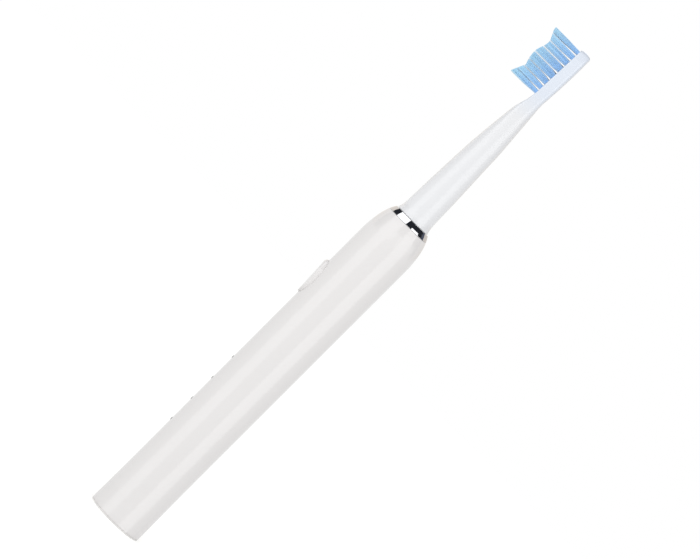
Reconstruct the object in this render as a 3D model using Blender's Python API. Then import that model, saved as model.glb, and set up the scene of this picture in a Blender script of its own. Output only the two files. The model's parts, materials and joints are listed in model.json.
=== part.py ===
"""Sonic electric toothbrush, standing upright on its flat foot.

The handle's axis is +Z with the foot at zero. Button, lights and bristles face -Y.
Every piece is its own object. Pieces that move together hang from one empty that
lies on their joint's axis: the swinging shaft, the pull-off head, the button and
the plunger of the switch behind it.
"""

import math

import bmesh
import bpy
from mathutils import Matrix, Vector

MM = 0.001

# Fits and mesh settings
SEAT_GAP = 0.3 * MM
SOLDER_GAP = 0.15 * MM
OVERRUN = 2.0 * MM
WELD = 0.0005 * MM
SHARP_ANGLE = math.radians(32)
SHELL_STEPS = 40
ROUND_STEPS = 24
SMALL_STEPS = 12
TINY_STEPS = 8

# Stack inside the handle, from the foot up: socket, lower bulkhead, cell, motor
HANDLE_RADIUS = 11.5 * MM
SHELL_WALL = 0.139 * HANDLE_RADIUS
SHELL_BORE = HANDLE_RADIUS - SHELL_WALL
SOCKET_DEPTH = 14.0 * MM
SOCKET_WALL = 0.101 * SHELL_BORE
CHASSIS_BOTTOM = SOCKET_DEPTH + SOCKET_WALL + SEAT_GAP
BULKHEAD = 3.0 * MM
TAB_THICKNESS = 0.3 * MM
LOWER_TAB = CHASSIS_BOTTOM + BULKHEAD + SEAT_GAP
CELL_BOTTOM = LOWER_TAB + TAB_THICKNESS + SEAT_GAP
CELL_LENGTH = 50.0 * MM
CELL_NIPPLE_HEIGHT = 0.8 * MM
UPPER_TAB = CELL_BOTTOM + CELL_LENGTH + CELL_NIPPLE_HEIGHT + SEAT_GAP
CELL_BULKHEAD = UPPER_TAB + TAB_THICKNESS + SEAT_GAP
SPARE_LENGTH = 8.1 * MM
MOTOR_BULKHEAD = CELL_BULKHEAD + BULKHEAD + SPARE_LENGTH
FRAME_BOTTOM = MOTOR_BULKHEAD + BULKHEAD + SEAT_GAP
FRAME_LENGTH = 53.7 * MM
FRAME_TOP = FRAME_BOTTOM + FRAME_LENGTH
FRAME_DROP = 2.0 * MM

# Handle shell: a straight tube with a slight flare at the foot and an elliptic shoulder
FLARE = 0.22 * MM
FLARE_HEIGHT = 30.0 * MM
FLARE_EXPONENT = 1.5
FLARE_SHARES = (0.1, 0.25, 0.5, 1.0)
RIM_EDGE = 0.15 * MM
SHOULDER_START = FRAME_TOP + FRAME_DROP
SHOULDER_RISE = 17.0 * MM
SHOULDER_DROP = 0.522 * HANDLE_RADIUS
LAND_HEIGHT = 0.765 * SHOULDER_RISE
LAND_TOP = SHOULDER_START + LAND_HEIGHT
SHOULDER_SHARES = (0.24, 0.46, 0.65, 0.81, 0.92, 1.0)
ROOF_HEIGHT = 0.659 * SHOULDER_RISE
RING_HEIGHT = 2.2 * MM
RING_LIP = 0.5 * MM
SPIGOT_RADIUS = 0.574 * HANDLE_RADIUS
SPIGOT_HEIGHT = RING_HEIGHT - RING_LIP
SEAL_BORE = 0.682 * SPIGOT_RADIUS
TOWER_WALL = SHELL_WALL
TOWER_DROP = 4.8 * MM
SEAL_SHELF_BORE = 0.711 * SEAL_BORE
SEAL_SHELF = 1.6 * MM
WALL_CUT_SHARE = 0.643

# Chrome neck ring on the spigot
RING_BOTTOM = LAND_TOP + SEAT_GAP
RING_TOP = RING_BOTTOM + RING_HEIGHT
RING_LIP_BORE = 0.515 * SPIGOT_RADIUS
RING_BORE = SPIGOT_RADIUS + SEAT_GAP
RING_EDGE = 0.2 * MM
RING_SHARES = (0.0, 0.34, 0.67, 0.9)

# Bottom cap: flat foot, sealed plug and the blind socket for a charger's post
CAP_INSET = 0.25 * MM
CAP_RADIUS = HANDLE_RADIUS + FLARE - CAP_INSET
CAP_EDGE = 0.35 * MM
CAP_LIP = 0.55 * MM
CAP_FLOOR = 1.6 * MM
PLUG_RADIUS = SHELL_BORE - SEAT_GAP
PLUG_HEIGHT = 7.0 * MM
PLUG_WALL = 0.222 * SHELL_BORE
SOCKET_RADIUS = 0.404 * SHELL_BORE
GROOVE_BOTTOM = 0.486 * PLUG_HEIGHT
GROOVE_HEIGHT = 0.243 * PLUG_HEIGHT
GROOVE_DEPTH = 0.131 * SHELL_BORE
SHELL_BOTTOM = CAP_LIP + SEAT_GAP

# Charging coil round the socket
BOBBIN_WALL = 0.05 * SHELL_BORE
BOBBIN_FLANGE = 0.6 * MM
BOBBIN_HEIGHT = 0.75 * SOCKET_DEPTH
COIL_BUILD = 0.091 * SHELL_BORE

# Chassis: a flat web with battery rails and three bulkheads
WEB_FRONT = -0.545 * SHELL_BORE
WEB_THICKNESS = 0.081 * SHELL_BORE
WEB_BACK = WEB_FRONT + WEB_THICKNESS
WEB_HALF_WIDTH = 0.667 * SHELL_BORE
RAIL_THICKNESS = 0.06 * SHELL_BORE
RAIL_INSET = 0.1 * MM
RAIL_BACK = 0.263 * SHELL_BORE
BULKHEAD_RADIUS = SHELL_BORE - SEAT_GAP
BULKHEAD_NOTCH = 0.141 * SHELL_BORE
NOTCH_BACK = 0.06 * SHELL_BORE

# Battery: a 14500 lithium cell that fills the bore behind the web, with welded tabs
CELL_GAP = 0.35 * MM
CELL_RADIUS = (SHELL_BORE - CELL_GAP - WEB_BACK - SOLDER_GAP) / 2
CELL_CENTRE_Y = WEB_BACK + SOLDER_GAP + CELL_RADIUS
CELL_EDGE = 0.5 * MM
CELL_NIPPLE_RADIUS = 0.371 * CELL_RADIUS
BAY_HALF_WIDTH = CELL_RADIUS + SEAT_GAP + RAIL_THICKNESS
TAB_HALF_WIDTH = 0.242 * SHELL_BORE
TAB_REACH = 0.606 * SHELL_BORE
TAB_SLOT_GAP = 0.2 * MM

# Motor frame, a C-shaped channel in two rubber rings, and its plates from the top down
DAMPER_THICKNESS = 0.071 * SHELL_BORE
DAMPER_HEIGHT = 2.5 * MM
DAMPER_RADIUS = SHELL_BORE - SEAT_GAP
REAR_DAMPER_RISE = 2.6 * MM
FRONT_DAMPER_DROP = 4.6 * MM
FRAME_RADIUS = DAMPER_RADIUS - DAMPER_THICKNESS - SEAT_GAP
FRAME_WALL = 0.071 * SHELL_BORE
FRAME_BORE = FRAME_RADIUS - FRAME_WALL
FRAME_FRONT = WEB_BACK + SEAT_GAP
PLATE_RADIUS = FRAME_BORE - SEAT_GAP
PLATE_FRONT = FRAME_FRONT + SEAT_GAP
PLATE_THICKNESS = 3.0 * MM
FRONT_PLATE_BOTTOM = FRAME_TOP - 0.13 * FRAME_LENGTH
END_CAP_BOTTOM = FRAME_BOTTOM + SEAT_GAP
END_CAP_THICKNESS = 2.0 * MM

# Brush head's length and how far the drive shaft reaches into it
HEAD_BOTTOM = RING_TOP + SEAT_GAP
HEAD_LENGTH = 88.5 * MM
HEAD_TOP = HEAD_BOTTOM + HEAD_LENGTH
HEAD_RADIUS = 0.652 * HANDLE_RADIUS
HEAD_BORE = 0.613 * HEAD_RADIUS
HEAD_BORE_DEPTH = 27.0 * MM

# Drive shaft and rotor
SHAFT_RADIUS = 0.202 * SHELL_BORE
SHAFT_TOP = HEAD_BOTTOM + 0.785 * HEAD_BORE_DEPTH
SHAFT_EDGE = 0.3 * MM
SHAFT_FLAT_DEPTH = 0.4 * SHAFT_RADIUS
SHAFT_FLAT_LENGTH = 0.63 * HEAD_BORE_DEPTH
RUNNING_GAP = 0.15 * MM
ROTOR_LENGTH = 0.335 * FRAME_LENGTH
ROTOR_TOP = FRONT_PLATE_BOTTOM - 0.056 * FRAME_LENGTH
ROTOR_BOTTOM = ROTOR_TOP - ROTOR_LENGTH
YOKE_BORE = SHAFT_RADIUS + SEAT_GAP
YOKE_RADIUS = 0.382 * PLATE_RADIUS
MAGNET_BORE = YOKE_RADIUS + SEAT_GAP
MAGNET_RADIUS = 0.54 * PLATE_RADIUS
MAGNET_COUNT = 4
MAGNET_SPAN = math.radians(78)
MAGNET_STEPS = 6
POLE_BORE = MAGNET_RADIUS + SEAT_GAP
CLIP_GROOVE_RADIUS = 0.75 * SHAFT_RADIUS
CLIP_RADIUS = 1.6 * SHAFT_RADIUS
CLIP_THICKNESS = 0.6 * MM
CLIP_MOUTH = math.radians(70)
CLIP_STEPS = 14

# Sintered bushes that carry the shaft
BUSH_BORE = SHAFT_RADIUS + RUNNING_GAP
BUSH_RADIUS = 1.55 * SHAFT_RADIUS
BUSH_FLANGE_RADIUS = 2.05 * SHAFT_RADIUS
BUSH_FLANGE = 0.6 * MM
BUSH_SEAT_BORE = BUSH_RADIUS + SEAT_GAP
REAR_PLATE_TOP = ROTOR_BOTTOM - 0.045 * FRAME_LENGTH
REAR_PLATE_BOTTOM = REAR_PLATE_TOP - PLATE_THICKNESS
SHAFT_BOTTOM = REAR_PLATE_BOTTOM - SEAT_GAP

# Stator: a laminated E-core whose outer arms end in poles round the rotor
CORE_HALF_WIDTH = 0.895 * PLATE_RADIUS
ARM_INNER = 0.54 * PLATE_RADIUS
POLE_INNER = 0.369 * PLATE_RADIUS
LEG_HALF_WIDTH = 0.198 * PLATE_RADIUS
CORE_BASE = 0.067 * FRAME_LENGTH
CORE_BOTTOM = END_CAP_BOTTOM + END_CAP_THICKNESS + SEAT_GAP
LEG_BOTTOM = CORE_BOTTOM + CORE_BASE
LEG_DROP = 1.1 * MM
LEG_TOP = REAR_PLATE_BOTTOM - LEG_DROP
REEL_WALL = 0.066 * PLATE_RADIUS
REEL_FLANGE = 0.6 * MM
REEL_HALF_WIDTH = ARM_INNER - SEAT_GAP
REEL_HALF_DEPTH = -FRAME_FRONT
WINDING_INSET = 0.3 * MM
WINDING_DEPTH = 0.2 * MM
CORE_HALF_DEPTH = REEL_HALF_DEPTH - 2 * SOLDER_GAP - WINDING_DEPTH - REEL_WALL - SEAT_GAP
NOTCH_HALF_DEPTH = CORE_HALF_DEPTH + SEAT_GAP

# Circuit board and its components, on the front of the web
BOARD_BACK = WEB_FRONT - SOLDER_GAP
BOARD_THICKNESS = 0.101 * SHELL_BORE
BOARD_FRONT = BOARD_BACK - BOARD_THICKNESS
BOARD_HALF_WIDTH = 0.525 * SHELL_BORE
BOARD_BOTTOM = CHASSIS_BOTTOM
BOARD_TOP = FRAME_TOP - 0.149 * FRAME_LENGTH
BOARD_CORNER = 1.2 * MM
PART_SEAT = BOARD_FRONT - SOLDER_GAP
SCREW_RADIUS = 0.9 * MM
SCREW_HEAD_RADIUS = 1.7 * MM
SCREW_HEAD = 0.9 * MM
SCREW_LENGTH = 6.0 * MM
SCREW_DRIVE_RADIUS = 0.7 * MM
SCREW_DRIVE_DEPTH = 0.4 * MM
SCREW_HOLE_GAP = 0.2 * MM
CHIP_HEIGHT = 0.9 * MM
CONTROLLER_SIDE = 5.0 * MM
CONTROLLER_Z = FRAME_BOTTOM + 0.18 * FRAME_LENGTH
CHARGER_SIDE = 3.6 * MM
CHARGER_Z = CELL_BOTTOM + 0.176 * CELL_LENGTH
INDUCTOR_RADIUS = 2.2 * MM
INDUCTOR_HEIGHT = 1.8 * MM
INDUCTOR_Z = CELL_BOTTOM + 0.306 * CELL_LENGTH

# Charge lights and their light guides in the front wall
LIGHT_COUNT = 4
LIGHT_FIRST = CELL_BOTTOM + 0.446 * CELL_LENGTH
LIGHT_PITCH = 0.216 * CELL_LENGTH
LED_HEIGHT = 0.7 * MM
LED_HALF_WIDTH = 0.8 * MM
LED_HALF_LENGTH = 1.0 * MM
GUIDE_RADIUS = 0.7 * MM
GUIDE_PROUD = 0.18 * MM
GUIDE_FLANGE_RADIUS = 1.3 * MM
GUIDE_FLANGE = 0.5 * MM
GUIDE_HOLE_GAP = 0.15 * MM

# Button: a rocker-like wedge pad that a curved flange keeps in the wall
BUTTON_CENTRE = FRAME_BOTTOM + 0.579 * FRAME_LENGTH
BUTTON_HALF_LENGTH = 8.1 * MM
BUTTON_HALF_WIDTH = 0.47 * HANDLE_RADIUS
BUTTON_EXPONENT = 2.5
BUTTON_POINTS = 32
BUTTON_PROUD_LOW = 0.62 * MM
BUTTON_PROUD_HIGH = 1.32 * MM
BUTTON_CROWN = 0.55 * MM
BUTTON_EDGE_LOW = 0.35 * MM
BUTTON_EDGE_HIGH = 1.6 * MM
BUTTON_EDGE_EXPONENT = 4
BUTTON_EDGE_STEPS = 4
BUTTON_RING_SHARES = (0.66, 0.3)
BUTTON_FLANGE = 0.6 * MM
BUTTON_FLANGE_LAP = 1.1 * MM
BUTTON_FLANGE_RADIUS = SHELL_BORE - SEAT_GAP
BUTTON_BOSS_RADIUS = 1.3 * MM
APERTURE_GAP = 0.25 * MM

# Tactile switch behind the button
BUTTON_TRAVEL = 0.35 * MM
SWITCH_SIDE = 0.525 * SHELL_BORE
SWITCH_HEIGHT = 0.136 * SHELL_BORE
SWITCH_BORE = 1.5 * MM
SWITCH_FLOOR = 0.3 * MM
PLUNGER_RADIUS = 1.2 * MM
PLUNGER_LENGTH = 0.096 * SHELL_BORE
PLUNGER_REST_GAP = 0.05 * MM
PLUNGER_BACK = PART_SEAT - SWITCH_FLOOR - BUTTON_TRAVEL - PLUNGER_REST_GAP
PLUNGER_FRONT = PLUNGER_BACK - PLUNGER_LENGTH
BOSS_END = PLUNGER_FRONT - SEAT_GAP

# Shaft seal in the spigot
SEAL_BOTTOM = LAND_TOP - TOWER_DROP + SEAL_SHELF + SEAT_GAP
SEAL_TOP = LAND_TOP + SPIGOT_HEIGHT
SEAL_RADIUS = SEAL_BORE - SEAT_GAP
SEAL_LIP_BORE = SHAFT_RADIUS + SEAT_GAP
SEAL_WAIST = 0.667 * SEAL_BORE
SEAL_LIP_HEIGHT = 1.0 * MM
SEAL_WAIST_HEIGHT = 2.0 * MM

# Brush head: a tapering stem that flattens into the brush plate
HEAD_POINTS = 32
# height, front, back, half-width and squareness, as shares of length, radius and one
HEAD_STATION_SHARES = (
    (0.000, 1.000, 1.000, 1.000, 0.00),
    (0.011, 0.955, 0.955, 0.955, 0.00),
    (0.026, 0.920, 0.920, 0.920, 0.00),
    (0.048, 0.904, 0.904, 0.904, 0.00),
    (0.176, 0.856, 0.856, 0.856, 0.00),
    (0.276, 0.809, 0.809, 0.809, 0.00),
    (0.375, 0.757, 0.760, 0.758, 0.00),
    (0.430, 0.710, 0.740, 0.730, 0.00),
    (0.493, 0.644, 0.689, 0.690, 0.03),
    (0.559, 0.563, 0.627, 0.645, 0.08),
    (0.626, 0.475, 0.563, 0.613, 0.18),
    (0.659, 0.385, 0.528, 0.613, 0.32),
    (0.692, 0.271, 0.495, 0.633, 0.55),
    (0.725, 0.199, 0.488, 0.672, 0.80),
    (0.759, 0.170, 0.515, 0.715, 0.95),
    (0.805, 0.145, 0.550, 0.753, 1.00),
    (0.872, 0.112, 0.584, 0.765, 1.00),
    (0.938, 0.082, 0.602, 0.760, 1.00),
)
TIP_FRONT_SHARE = 0.052
TIP_BACK_SHARE = 0.598
TIP_EXPONENT = 2.6
TIP_SHARES = (0.35, 0.60, 0.78, 0.91, 1.0)
TIP_FLAT_SHARE = 0.34
TIP_CROWN = 0.35 * MM
TIP_CROWN_EXPONENT = 4
FRONT_SQUARENESS = 12.0
BACK_SQUARENESS = 1.6

# Sleeve and spring clip that grip the shaft inside the head
SLEEVE_RADIUS = HEAD_BORE - SEAT_GAP
SLEEVE_RISE = 0.6 * MM
SLEEVE_BOTTOM = HEAD_BOTTOM + SLEEVE_RISE
SLEEVE_TOP = HEAD_BOTTOM + HEAD_BORE_DEPTH - SEAT_GAP
SLEEVE_BORE = SHAFT_RADIUS + SEAT_GAP
SLEEVE_ROOM = 1.2 * MM
CLIP_LEAF = 0.4 * MM
CLIP_LEAF_HALF_WIDTH = 0.65 * SHAFT_RADIUS
CLIP_LEAF_LENGTH = 0.519 * HEAD_BORE_DEPTH
CLIP_LEAF_BACK = -(SHAFT_RADIUS - SHAFT_FLAT_DEPTH + SEAT_GAP)
CLIP_SLOT_FLOOR = CLIP_LEAF_BACK - CLIP_LEAF - SEAT_GAP

# Bristle field: rows of tufts on a slab let into the plate
FIELD_MARGIN = 0.8 * MM
FIELD_BOTTOM = HEAD_BOTTOM + 0.729 * HEAD_LENGTH
FIELD_TOP = HEAD_TOP - FIELD_MARGIN
FIELD_LENGTH = FIELD_TOP - FIELD_BOTTOM
PLATE_RIM = 0.45 * MM
SLAB_GAP = 0.2 * MM
SLAB_INSET = PLATE_RIM + SLAB_GAP
SLAB_THICKNESS = 1.6 * MM
SLAB_MARGIN = 0.15 * MM
SLAB_STEPS = 14
SLAB_SQUARE_EXPONENT = 5.0
ROW_SHARES = (0.052, 0.160, 0.285, 0.430, 0.580, 0.725, 0.855, 0.952)
ROW_TUFTS = (3, 4, 4, 4, 4, 4, 4, 3)
TUFT_RADIUS = 0.0397 * FIELD_LENGTH
TUFT_RING_STRANDS = (1, 5, 8)
TUFT_RING_SHARES = (0.0, 0.43, 0.84)
STRAND_RADIUS = 0.174 * TUFT_RADIUS
STRAND_SIDES = 3
SPLAY_SHARE = 0.93
TUFT_SIDE_MARGIN = 0.1 * MM
NECK_TIP = 1.827 * HEAD_RADIUS
FIRST_VALLEY = 1.494 * HEAD_RADIUS
HUMP_TIP = 1.654 * HEAD_RADIUS
SECOND_VALLEY = 1.474 * HEAD_RADIUS
END_TIP = 1.747 * HEAD_RADIUS
FIRST_VALLEY_SHARE = 0.24
HUMP_SHARE = 0.48
SECOND_VALLEY_SHARE = 0.74

# Colours as hexadecimal sRGB, with roughness and metallic value
FINISHES = {
    "handle_plastic": ("EDEBE8", 0.28, 0.0),
    "head_plastic": ("F1F2F6", 0.24, 0.0),
    "chrome_plate": ("D8D9DA", 0.06, 1.0),
    "bristle_nylon": ("8FC0EC", 0.45, 0.0),
    "seal_rubber": ("3C3D40", 0.75, 0.0),
    "chassis_plastic": ("C9CCCE", 0.5, 0.0),
    "board_laminate": ("1F6B3E", 0.45, 0.0),
    "chip_epoxy": ("232426", 0.5, 0.0),
    "light_guide": ("6E7378", 0.2, 0.0),
    "led_package": ("F4F0DC", 0.35, 0.0),
    "cell_sleeve": ("2F63A8", 0.35, 0.0),
    "nickel_strip": ("B9B6AE", 0.3, 1.0),
    "shaft_steel": ("B4B6B9", 0.22, 1.0),
    "core_steel": ("77797C", 0.45, 1.0),
    "magnet_nickel": ("A3A5A8", 0.25, 1.0),
    "copper_winding": ("B4673A", 0.35, 1.0),
    "bobbin_plastic": ("2E2E30", 0.5, 0.0),
    "sintered_bronze": ("9C7A45", 0.45, 1.0),
    "frame_steel": ("8E9194", 0.35, 1.0),
    "switch_plastic": ("303133", 0.5, 0.0),
    "sleeve_plastic": ("DFE0E2", 0.45, 0.0),
}


def clear_scene():
    """Remove what the file opened with."""
    for obj in list(bpy.data.objects):
        bpy.data.objects.remove(obj)


def linear(value):
    """One sRGB channel in 0 to 1 as a linear value."""
    return value / 12.92 if value <= 0.04045 else ((value + 0.055) / 1.055) ** 2.4


def make_materials():
    """A Principled material for each named finish."""
    made = {}
    for name, (hexadecimal, roughness, metallic) in FINISHES.items():
        material = bpy.data.materials.new(name)
        material.use_nodes = True
        shader = material.node_tree.nodes["Principled BSDF"]
        channels = [int(hexadecimal[i : i + 2], 16) / 255 for i in (0, 2, 4)]
        colour = [linear(channel) for channel in channels] + [1.0]
        shader.inputs["Base Color"].default_value = colour
        shader.inputs["Roughness"].default_value = roughness
        shader.inputs["Metallic"].default_value = metallic
        material.diffuse_color = colour
        made[name] = material
    return made


def make_body(name, at=(0, 0, 0)):
    """An empty on a body's joint axis, which carries the body's pieces."""
    empty = bpy.data.objects.new(name, None)
    empty.location = at
    bpy.context.scene.collection.objects.link(empty)
    return empty


def make_object(name, bm, at=(0, 0, 0)):
    """Close a bmesh into a smooth-shaded object with its faces outward."""
    bmesh.ops.remove_doubles(bm, verts=bm.verts, dist=WELD)
    bmesh.ops.recalc_face_normals(bm, faces=bm.faces)
    mesh = bpy.data.meshes.new(name)
    bm.to_mesh(mesh)
    bm.free()
    mesh.shade_smooth()
    mesh.set_sharp_from_angle(angle=SHARP_ANGLE)
    obj = bpy.data.objects.new(name, mesh)
    obj.location = at
    bpy.context.scene.collection.objects.link(obj)
    return obj


def dress(obj, material, body):
    """Give a piece its material and hang it from its body without moving it."""
    obj.data.materials.append(material)
    obj.parent = body
    obj.location = obj.location - body.location
    return obj


def combine(target, tool, operation):
    """Join a helper to a piece, or cut it away, with an exact Boolean."""
    tool.hide_render = True
    tool.display_type = "WIRE"
    modifier = target.modifiers.new(f"{operation.lower()} {tool.name}", "BOOLEAN")
    modifier.operation = operation
    modifier.object = tool
    modifier.solver = "EXACT"
    return target


def cut(target, *tools):
    """Cut each helper away from a piece."""
    for tool in tools:
        combine(target, tool, "DIFFERENCE")
    return target


def join(target, *tools):
    """Join each helper to a piece."""
    for tool in tools:
        combine(target, tool, "UNION")
    return target


def turned(name, outline, steps=ROUND_STEPS, at=(0, 0, 0), axis="Z"):
    """Turn a closed outline of (radius, height) points about Z, or about Y pointing forward."""
    bm = bmesh.new()
    points = [bm.verts.new((radius, 0, height)) for radius, height in outline]
    edges = []
    for first, second in zip(points, points[1:] + points[:1]):
        if first.co.x or second.co.x:
            edges.append(bm.edges.new((first, second)))
    bmesh.ops.spin(
        bm,
        geom=points + edges,
        cent=(0, 0, 0),
        axis=(0, 0, 1),
        angle=math.tau,
        steps=steps,
        use_merge=True,
    )
    if axis == "Y":
        bmesh.ops.rotate(bm, verts=bm.verts, matrix=Matrix.Rotation(math.radians(90), 3, "X"))
    return make_object(name, bm, at)


def disc(name, radius, height, steps=ROUND_STEPS, at=(0, 0, 0), axis="Z"):
    """A plain round bar that starts at its location."""
    outline = ((0, 0), (radius, 0), (radius, height), (0, height))
    return turned(name, outline, steps, at, axis)


def tube(name, inner, outer, height, steps=ROUND_STEPS, at=(0, 0, 0)):
    """A plain round tube that starts at its location."""
    outline = ((inner, 0), (outer, 0), (outer, height), (inner, height))
    return turned(name, outline, steps, at)


def arc_block(name, inner, outer, height, start, sweep, steps, at):
    """A ring segment from one angle round to another."""
    bm = bmesh.new()
    profile = [(inner, 0), (outer, 0), (outer, height), (inner, height)]
    turn = Matrix.Rotation(start, 3, "Z")
    points = [bm.verts.new(turn @ Vector((radius, 0, z))) for radius, z in profile]
    face = bm.faces.new(points)
    bmesh.ops.spin(
        bm,
        geom=[face],
        cent=(0, 0, 0),
        axis=(0, 0, 1),
        angle=sweep,
        steps=steps,
    )
    return make_object(name, bm, at)


def block(name, low, high):
    """A box between two corners, with its origin at the middle of its base."""
    low = Vector(low)
    high = Vector(high)
    base = Vector(((low.x + high.x) / 2, (low.y + high.y) / 2, low.z))
    size = high - low
    bm = bmesh.new()
    bmesh.ops.create_cube(bm, size=1)
    bmesh.ops.scale(bm, vec=size, verts=bm.verts)
    bmesh.ops.translate(bm, vec=(0, 0, size.z / 2), verts=bm.verts)
    return make_object(name, bm, base)


def extruded(name, outline, low, high, at=(0, 0, 0)):
    """Extrude a closed (x, z) outline along Y from low to high."""
    bm = bmesh.new()
    face = bm.faces.new([bm.verts.new((x, low, z)) for x, z in outline])
    grown = bmesh.ops.extrude_face_region(bm, geom=[face])["geom"]
    moved = [item for item in grown if isinstance(item, bmesh.types.BMVert)]
    bmesh.ops.translate(bm, vec=(0, high - low, 0), verts=moved)
    return make_object(name, bm, at)


def lofted(name, rings, at=(0, 0, 0)):
    """Skin a list of equal rings of points and close both ends."""
    bm = bmesh.new()
    loops = [[bm.verts.new(point) for point in ring] for ring in rings]
    for lower, upper in zip(loops, loops[1:]):
        for i, vertex in enumerate(lower):
            j = (i + 1) % len(lower)
            bm.faces.new((vertex, lower[j], upper[j], upper[i]))
    bm.faces.new(list(reversed(loops[0])))
    bm.faces.new(loops[-1])
    return make_object(name, bm, at)


def signed_power(value, exponent):
    """A power that keeps the value's sign."""
    return math.copysign(abs(value) ** exponent, value)


def button_outline(margin=0):
    """Superellipse round the button's face, in (x, z), grown by a margin."""
    points = []
    for i in range(BUTTON_POINTS):
        angle = math.tau * i / BUTTON_POINTS
        across = signed_power(math.cos(angle), 2 / BUTTON_EXPONENT)
        along = signed_power(math.sin(angle), 2 / BUTTON_EXPONENT)
        x = (BUTTON_HALF_WIDTH + margin) * across
        points.append((x, (BUTTON_HALF_LENGTH + margin) * along))
    return points


def between(table, share):
    """Read a table of rows by its first column, straight between rows."""
    for lower, upper in zip(table, table[1:]):
        if share <= upper[0]:
            step = (share - lower[0]) / (upper[0] - lower[0])
            return [a + (b - a) * step for a, b in zip(lower[1:], upper[1:])]
    return list(table[-1][1:])


def handle_radius(height):
    """Outer radius of the handle at a height: flare, straight tube, elliptic shoulder."""
    if height < FLARE_HEIGHT:
        return HANDLE_RADIUS + FLARE * (1 - height / FLARE_HEIGHT) ** FLARE_EXPONENT
    if height <= SHOULDER_START:
        return HANDLE_RADIUS
    rise = (height - SHOULDER_START) / SHOULDER_RISE
    return HANDLE_RADIUS - SHOULDER_DROP * (1 - math.sqrt(1 - rise**2))


def make_handle_shell():
    """The moulded handle: tube, shoulder, seal tower and spigot, turned in one piece."""
    outer = [(handle_radius(SHELL_BOTTOM) - RIM_EDGE, SHELL_BOTTOM)]
    outer.append((handle_radius(SHELL_BOTTOM + RIM_EDGE), SHELL_BOTTOM + RIM_EDGE))
    for share in FLARE_SHARES:
        outer.append((handle_radius(share * FLARE_HEIGHT), share * FLARE_HEIGHT))
    outer.append((HANDLE_RADIUS, SHOULDER_START))
    for share in SHOULDER_SHARES:
        height = SHOULDER_START + share * LAND_HEIGHT
        outer.append((handle_radius(height), height))
    tower_foot = LAND_TOP - TOWER_DROP
    roof = SHOULDER_START + ROOF_HEIGHT
    tower_radius = SEAL_BORE + TOWER_WALL
    neck = [
        (SPIGOT_RADIUS, LAND_TOP),
        (SPIGOT_RADIUS, LAND_TOP + SPIGOT_HEIGHT),
        (SEAL_BORE, LAND_TOP + SPIGOT_HEIGHT),
        (SEAL_BORE, tower_foot + SEAL_SHELF),
        (SEAL_SHELF_BORE, tower_foot + SEAL_SHELF),
        (SEAL_SHELF_BORE, tower_foot),
        (tower_radius, tower_foot),
        (tower_radius, roof),
    ]
    inner = []
    for share in reversed(SHOULDER_SHARES[:4]):
        height = SHOULDER_START + share / SHOULDER_SHARES[3] * ROOF_HEIGHT
        inner.append((handle_radius(height) - SHELL_WALL, height))
    inner.append((SHELL_BORE, SHOULDER_START))
    inner.append((SHELL_BORE, SHELL_BOTTOM))
    shell = turned("handle_shell", outer + neck + inner, SHELL_STEPS)
    aperture = button_outline(APERTURE_GAP)
    outside = -(HANDLE_RADIUS + OVERRUN)
    inside = -WALL_CUT_SHARE * SHELL_BORE
    cut(shell, extruded("button_aperture", aperture, outside, inside, (0, 0, BUTTON_CENTRE)))
    for index in range(LIGHT_COUNT):
        at = (0, inside, LIGHT_FIRST + index * LIGHT_PITCH)
        hole = disc(
            f"light_hole_{index + 1}",
            GUIDE_RADIUS + GUIDE_HOLE_GAP,
            inside - outside,
            SMALL_STEPS,
            at,
            "Y",
        )
        cut(shell, hole)
    return shell


def make_neck_ring():
    """Chrome ring that carries the shoulder's curve up to the brush head."""
    lip_bottom = RING_TOP - RING_LIP
    outline = [(RING_BORE, RING_BOTTOM)]
    for share in RING_SHARES:
        height = RING_BOTTOM + share * (RING_TOP - RING_BOTTOM)
        outline.append((handle_radius(height), height))
    outline += [
        (handle_radius(RING_TOP) - RING_EDGE, RING_TOP),
        (RING_LIP_BORE, RING_TOP),
        (RING_LIP_BORE, lip_bottom),
        (RING_BORE, lip_bottom),
    ]
    return turned("neck_ring", outline, SHELL_STEPS)


def make_shaft_seal():
    """Rubber seal with a thin lip round the shaft."""
    height = SEAL_TOP - SEAL_BOTTOM
    outline = (
        (SEAL_LIP_BORE, 0),
        (SEAL_RADIUS, 0),
        (SEAL_RADIUS, height),
        (SEAL_WAIST, height),
        (SEAL_WAIST, SEAL_WAIST_HEIGHT),
        (SEAL_LIP_BORE, SEAL_LIP_HEIGHT),
    )
    return turned("shaft_seal", outline, at=(0, 0, SEAL_BOTTOM))


def make_bottom_cap():
    """Foot, sealing plug and the walls of the charging socket in one moulding."""
    socket_outer = SOCKET_RADIUS + SOCKET_WALL
    groove_top = GROOVE_BOTTOM + GROOVE_HEIGHT
    groove_radius = PLUG_RADIUS - GROOVE_DEPTH
    plug_inner = PLUG_RADIUS - PLUG_WALL
    outline = (
        (SOCKET_RADIUS, 0),
        (CAP_RADIUS - CAP_EDGE, 0),
        (CAP_RADIUS, CAP_EDGE),
        (CAP_RADIUS, CAP_LIP),
        (PLUG_RADIUS, CAP_LIP),
        (PLUG_RADIUS, GROOVE_BOTTOM),
        (groove_radius, GROOVE_BOTTOM),
        (groove_radius, groove_top),
        (PLUG_RADIUS, groove_top),
        (PLUG_RADIUS, PLUG_HEIGHT),
        (plug_inner, PLUG_HEIGHT),
        (plug_inner, CAP_FLOOR),
        (socket_outer, CAP_FLOOR),
        (socket_outer, SOCKET_DEPTH + SOCKET_WALL),
        (0, SOCKET_DEPTH + SOCKET_WALL),
        (0, SOCKET_DEPTH),
        (SOCKET_RADIUS, SOCKET_DEPTH),
    )
    return turned("bottom_cap", outline, SHELL_STEPS)


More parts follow.
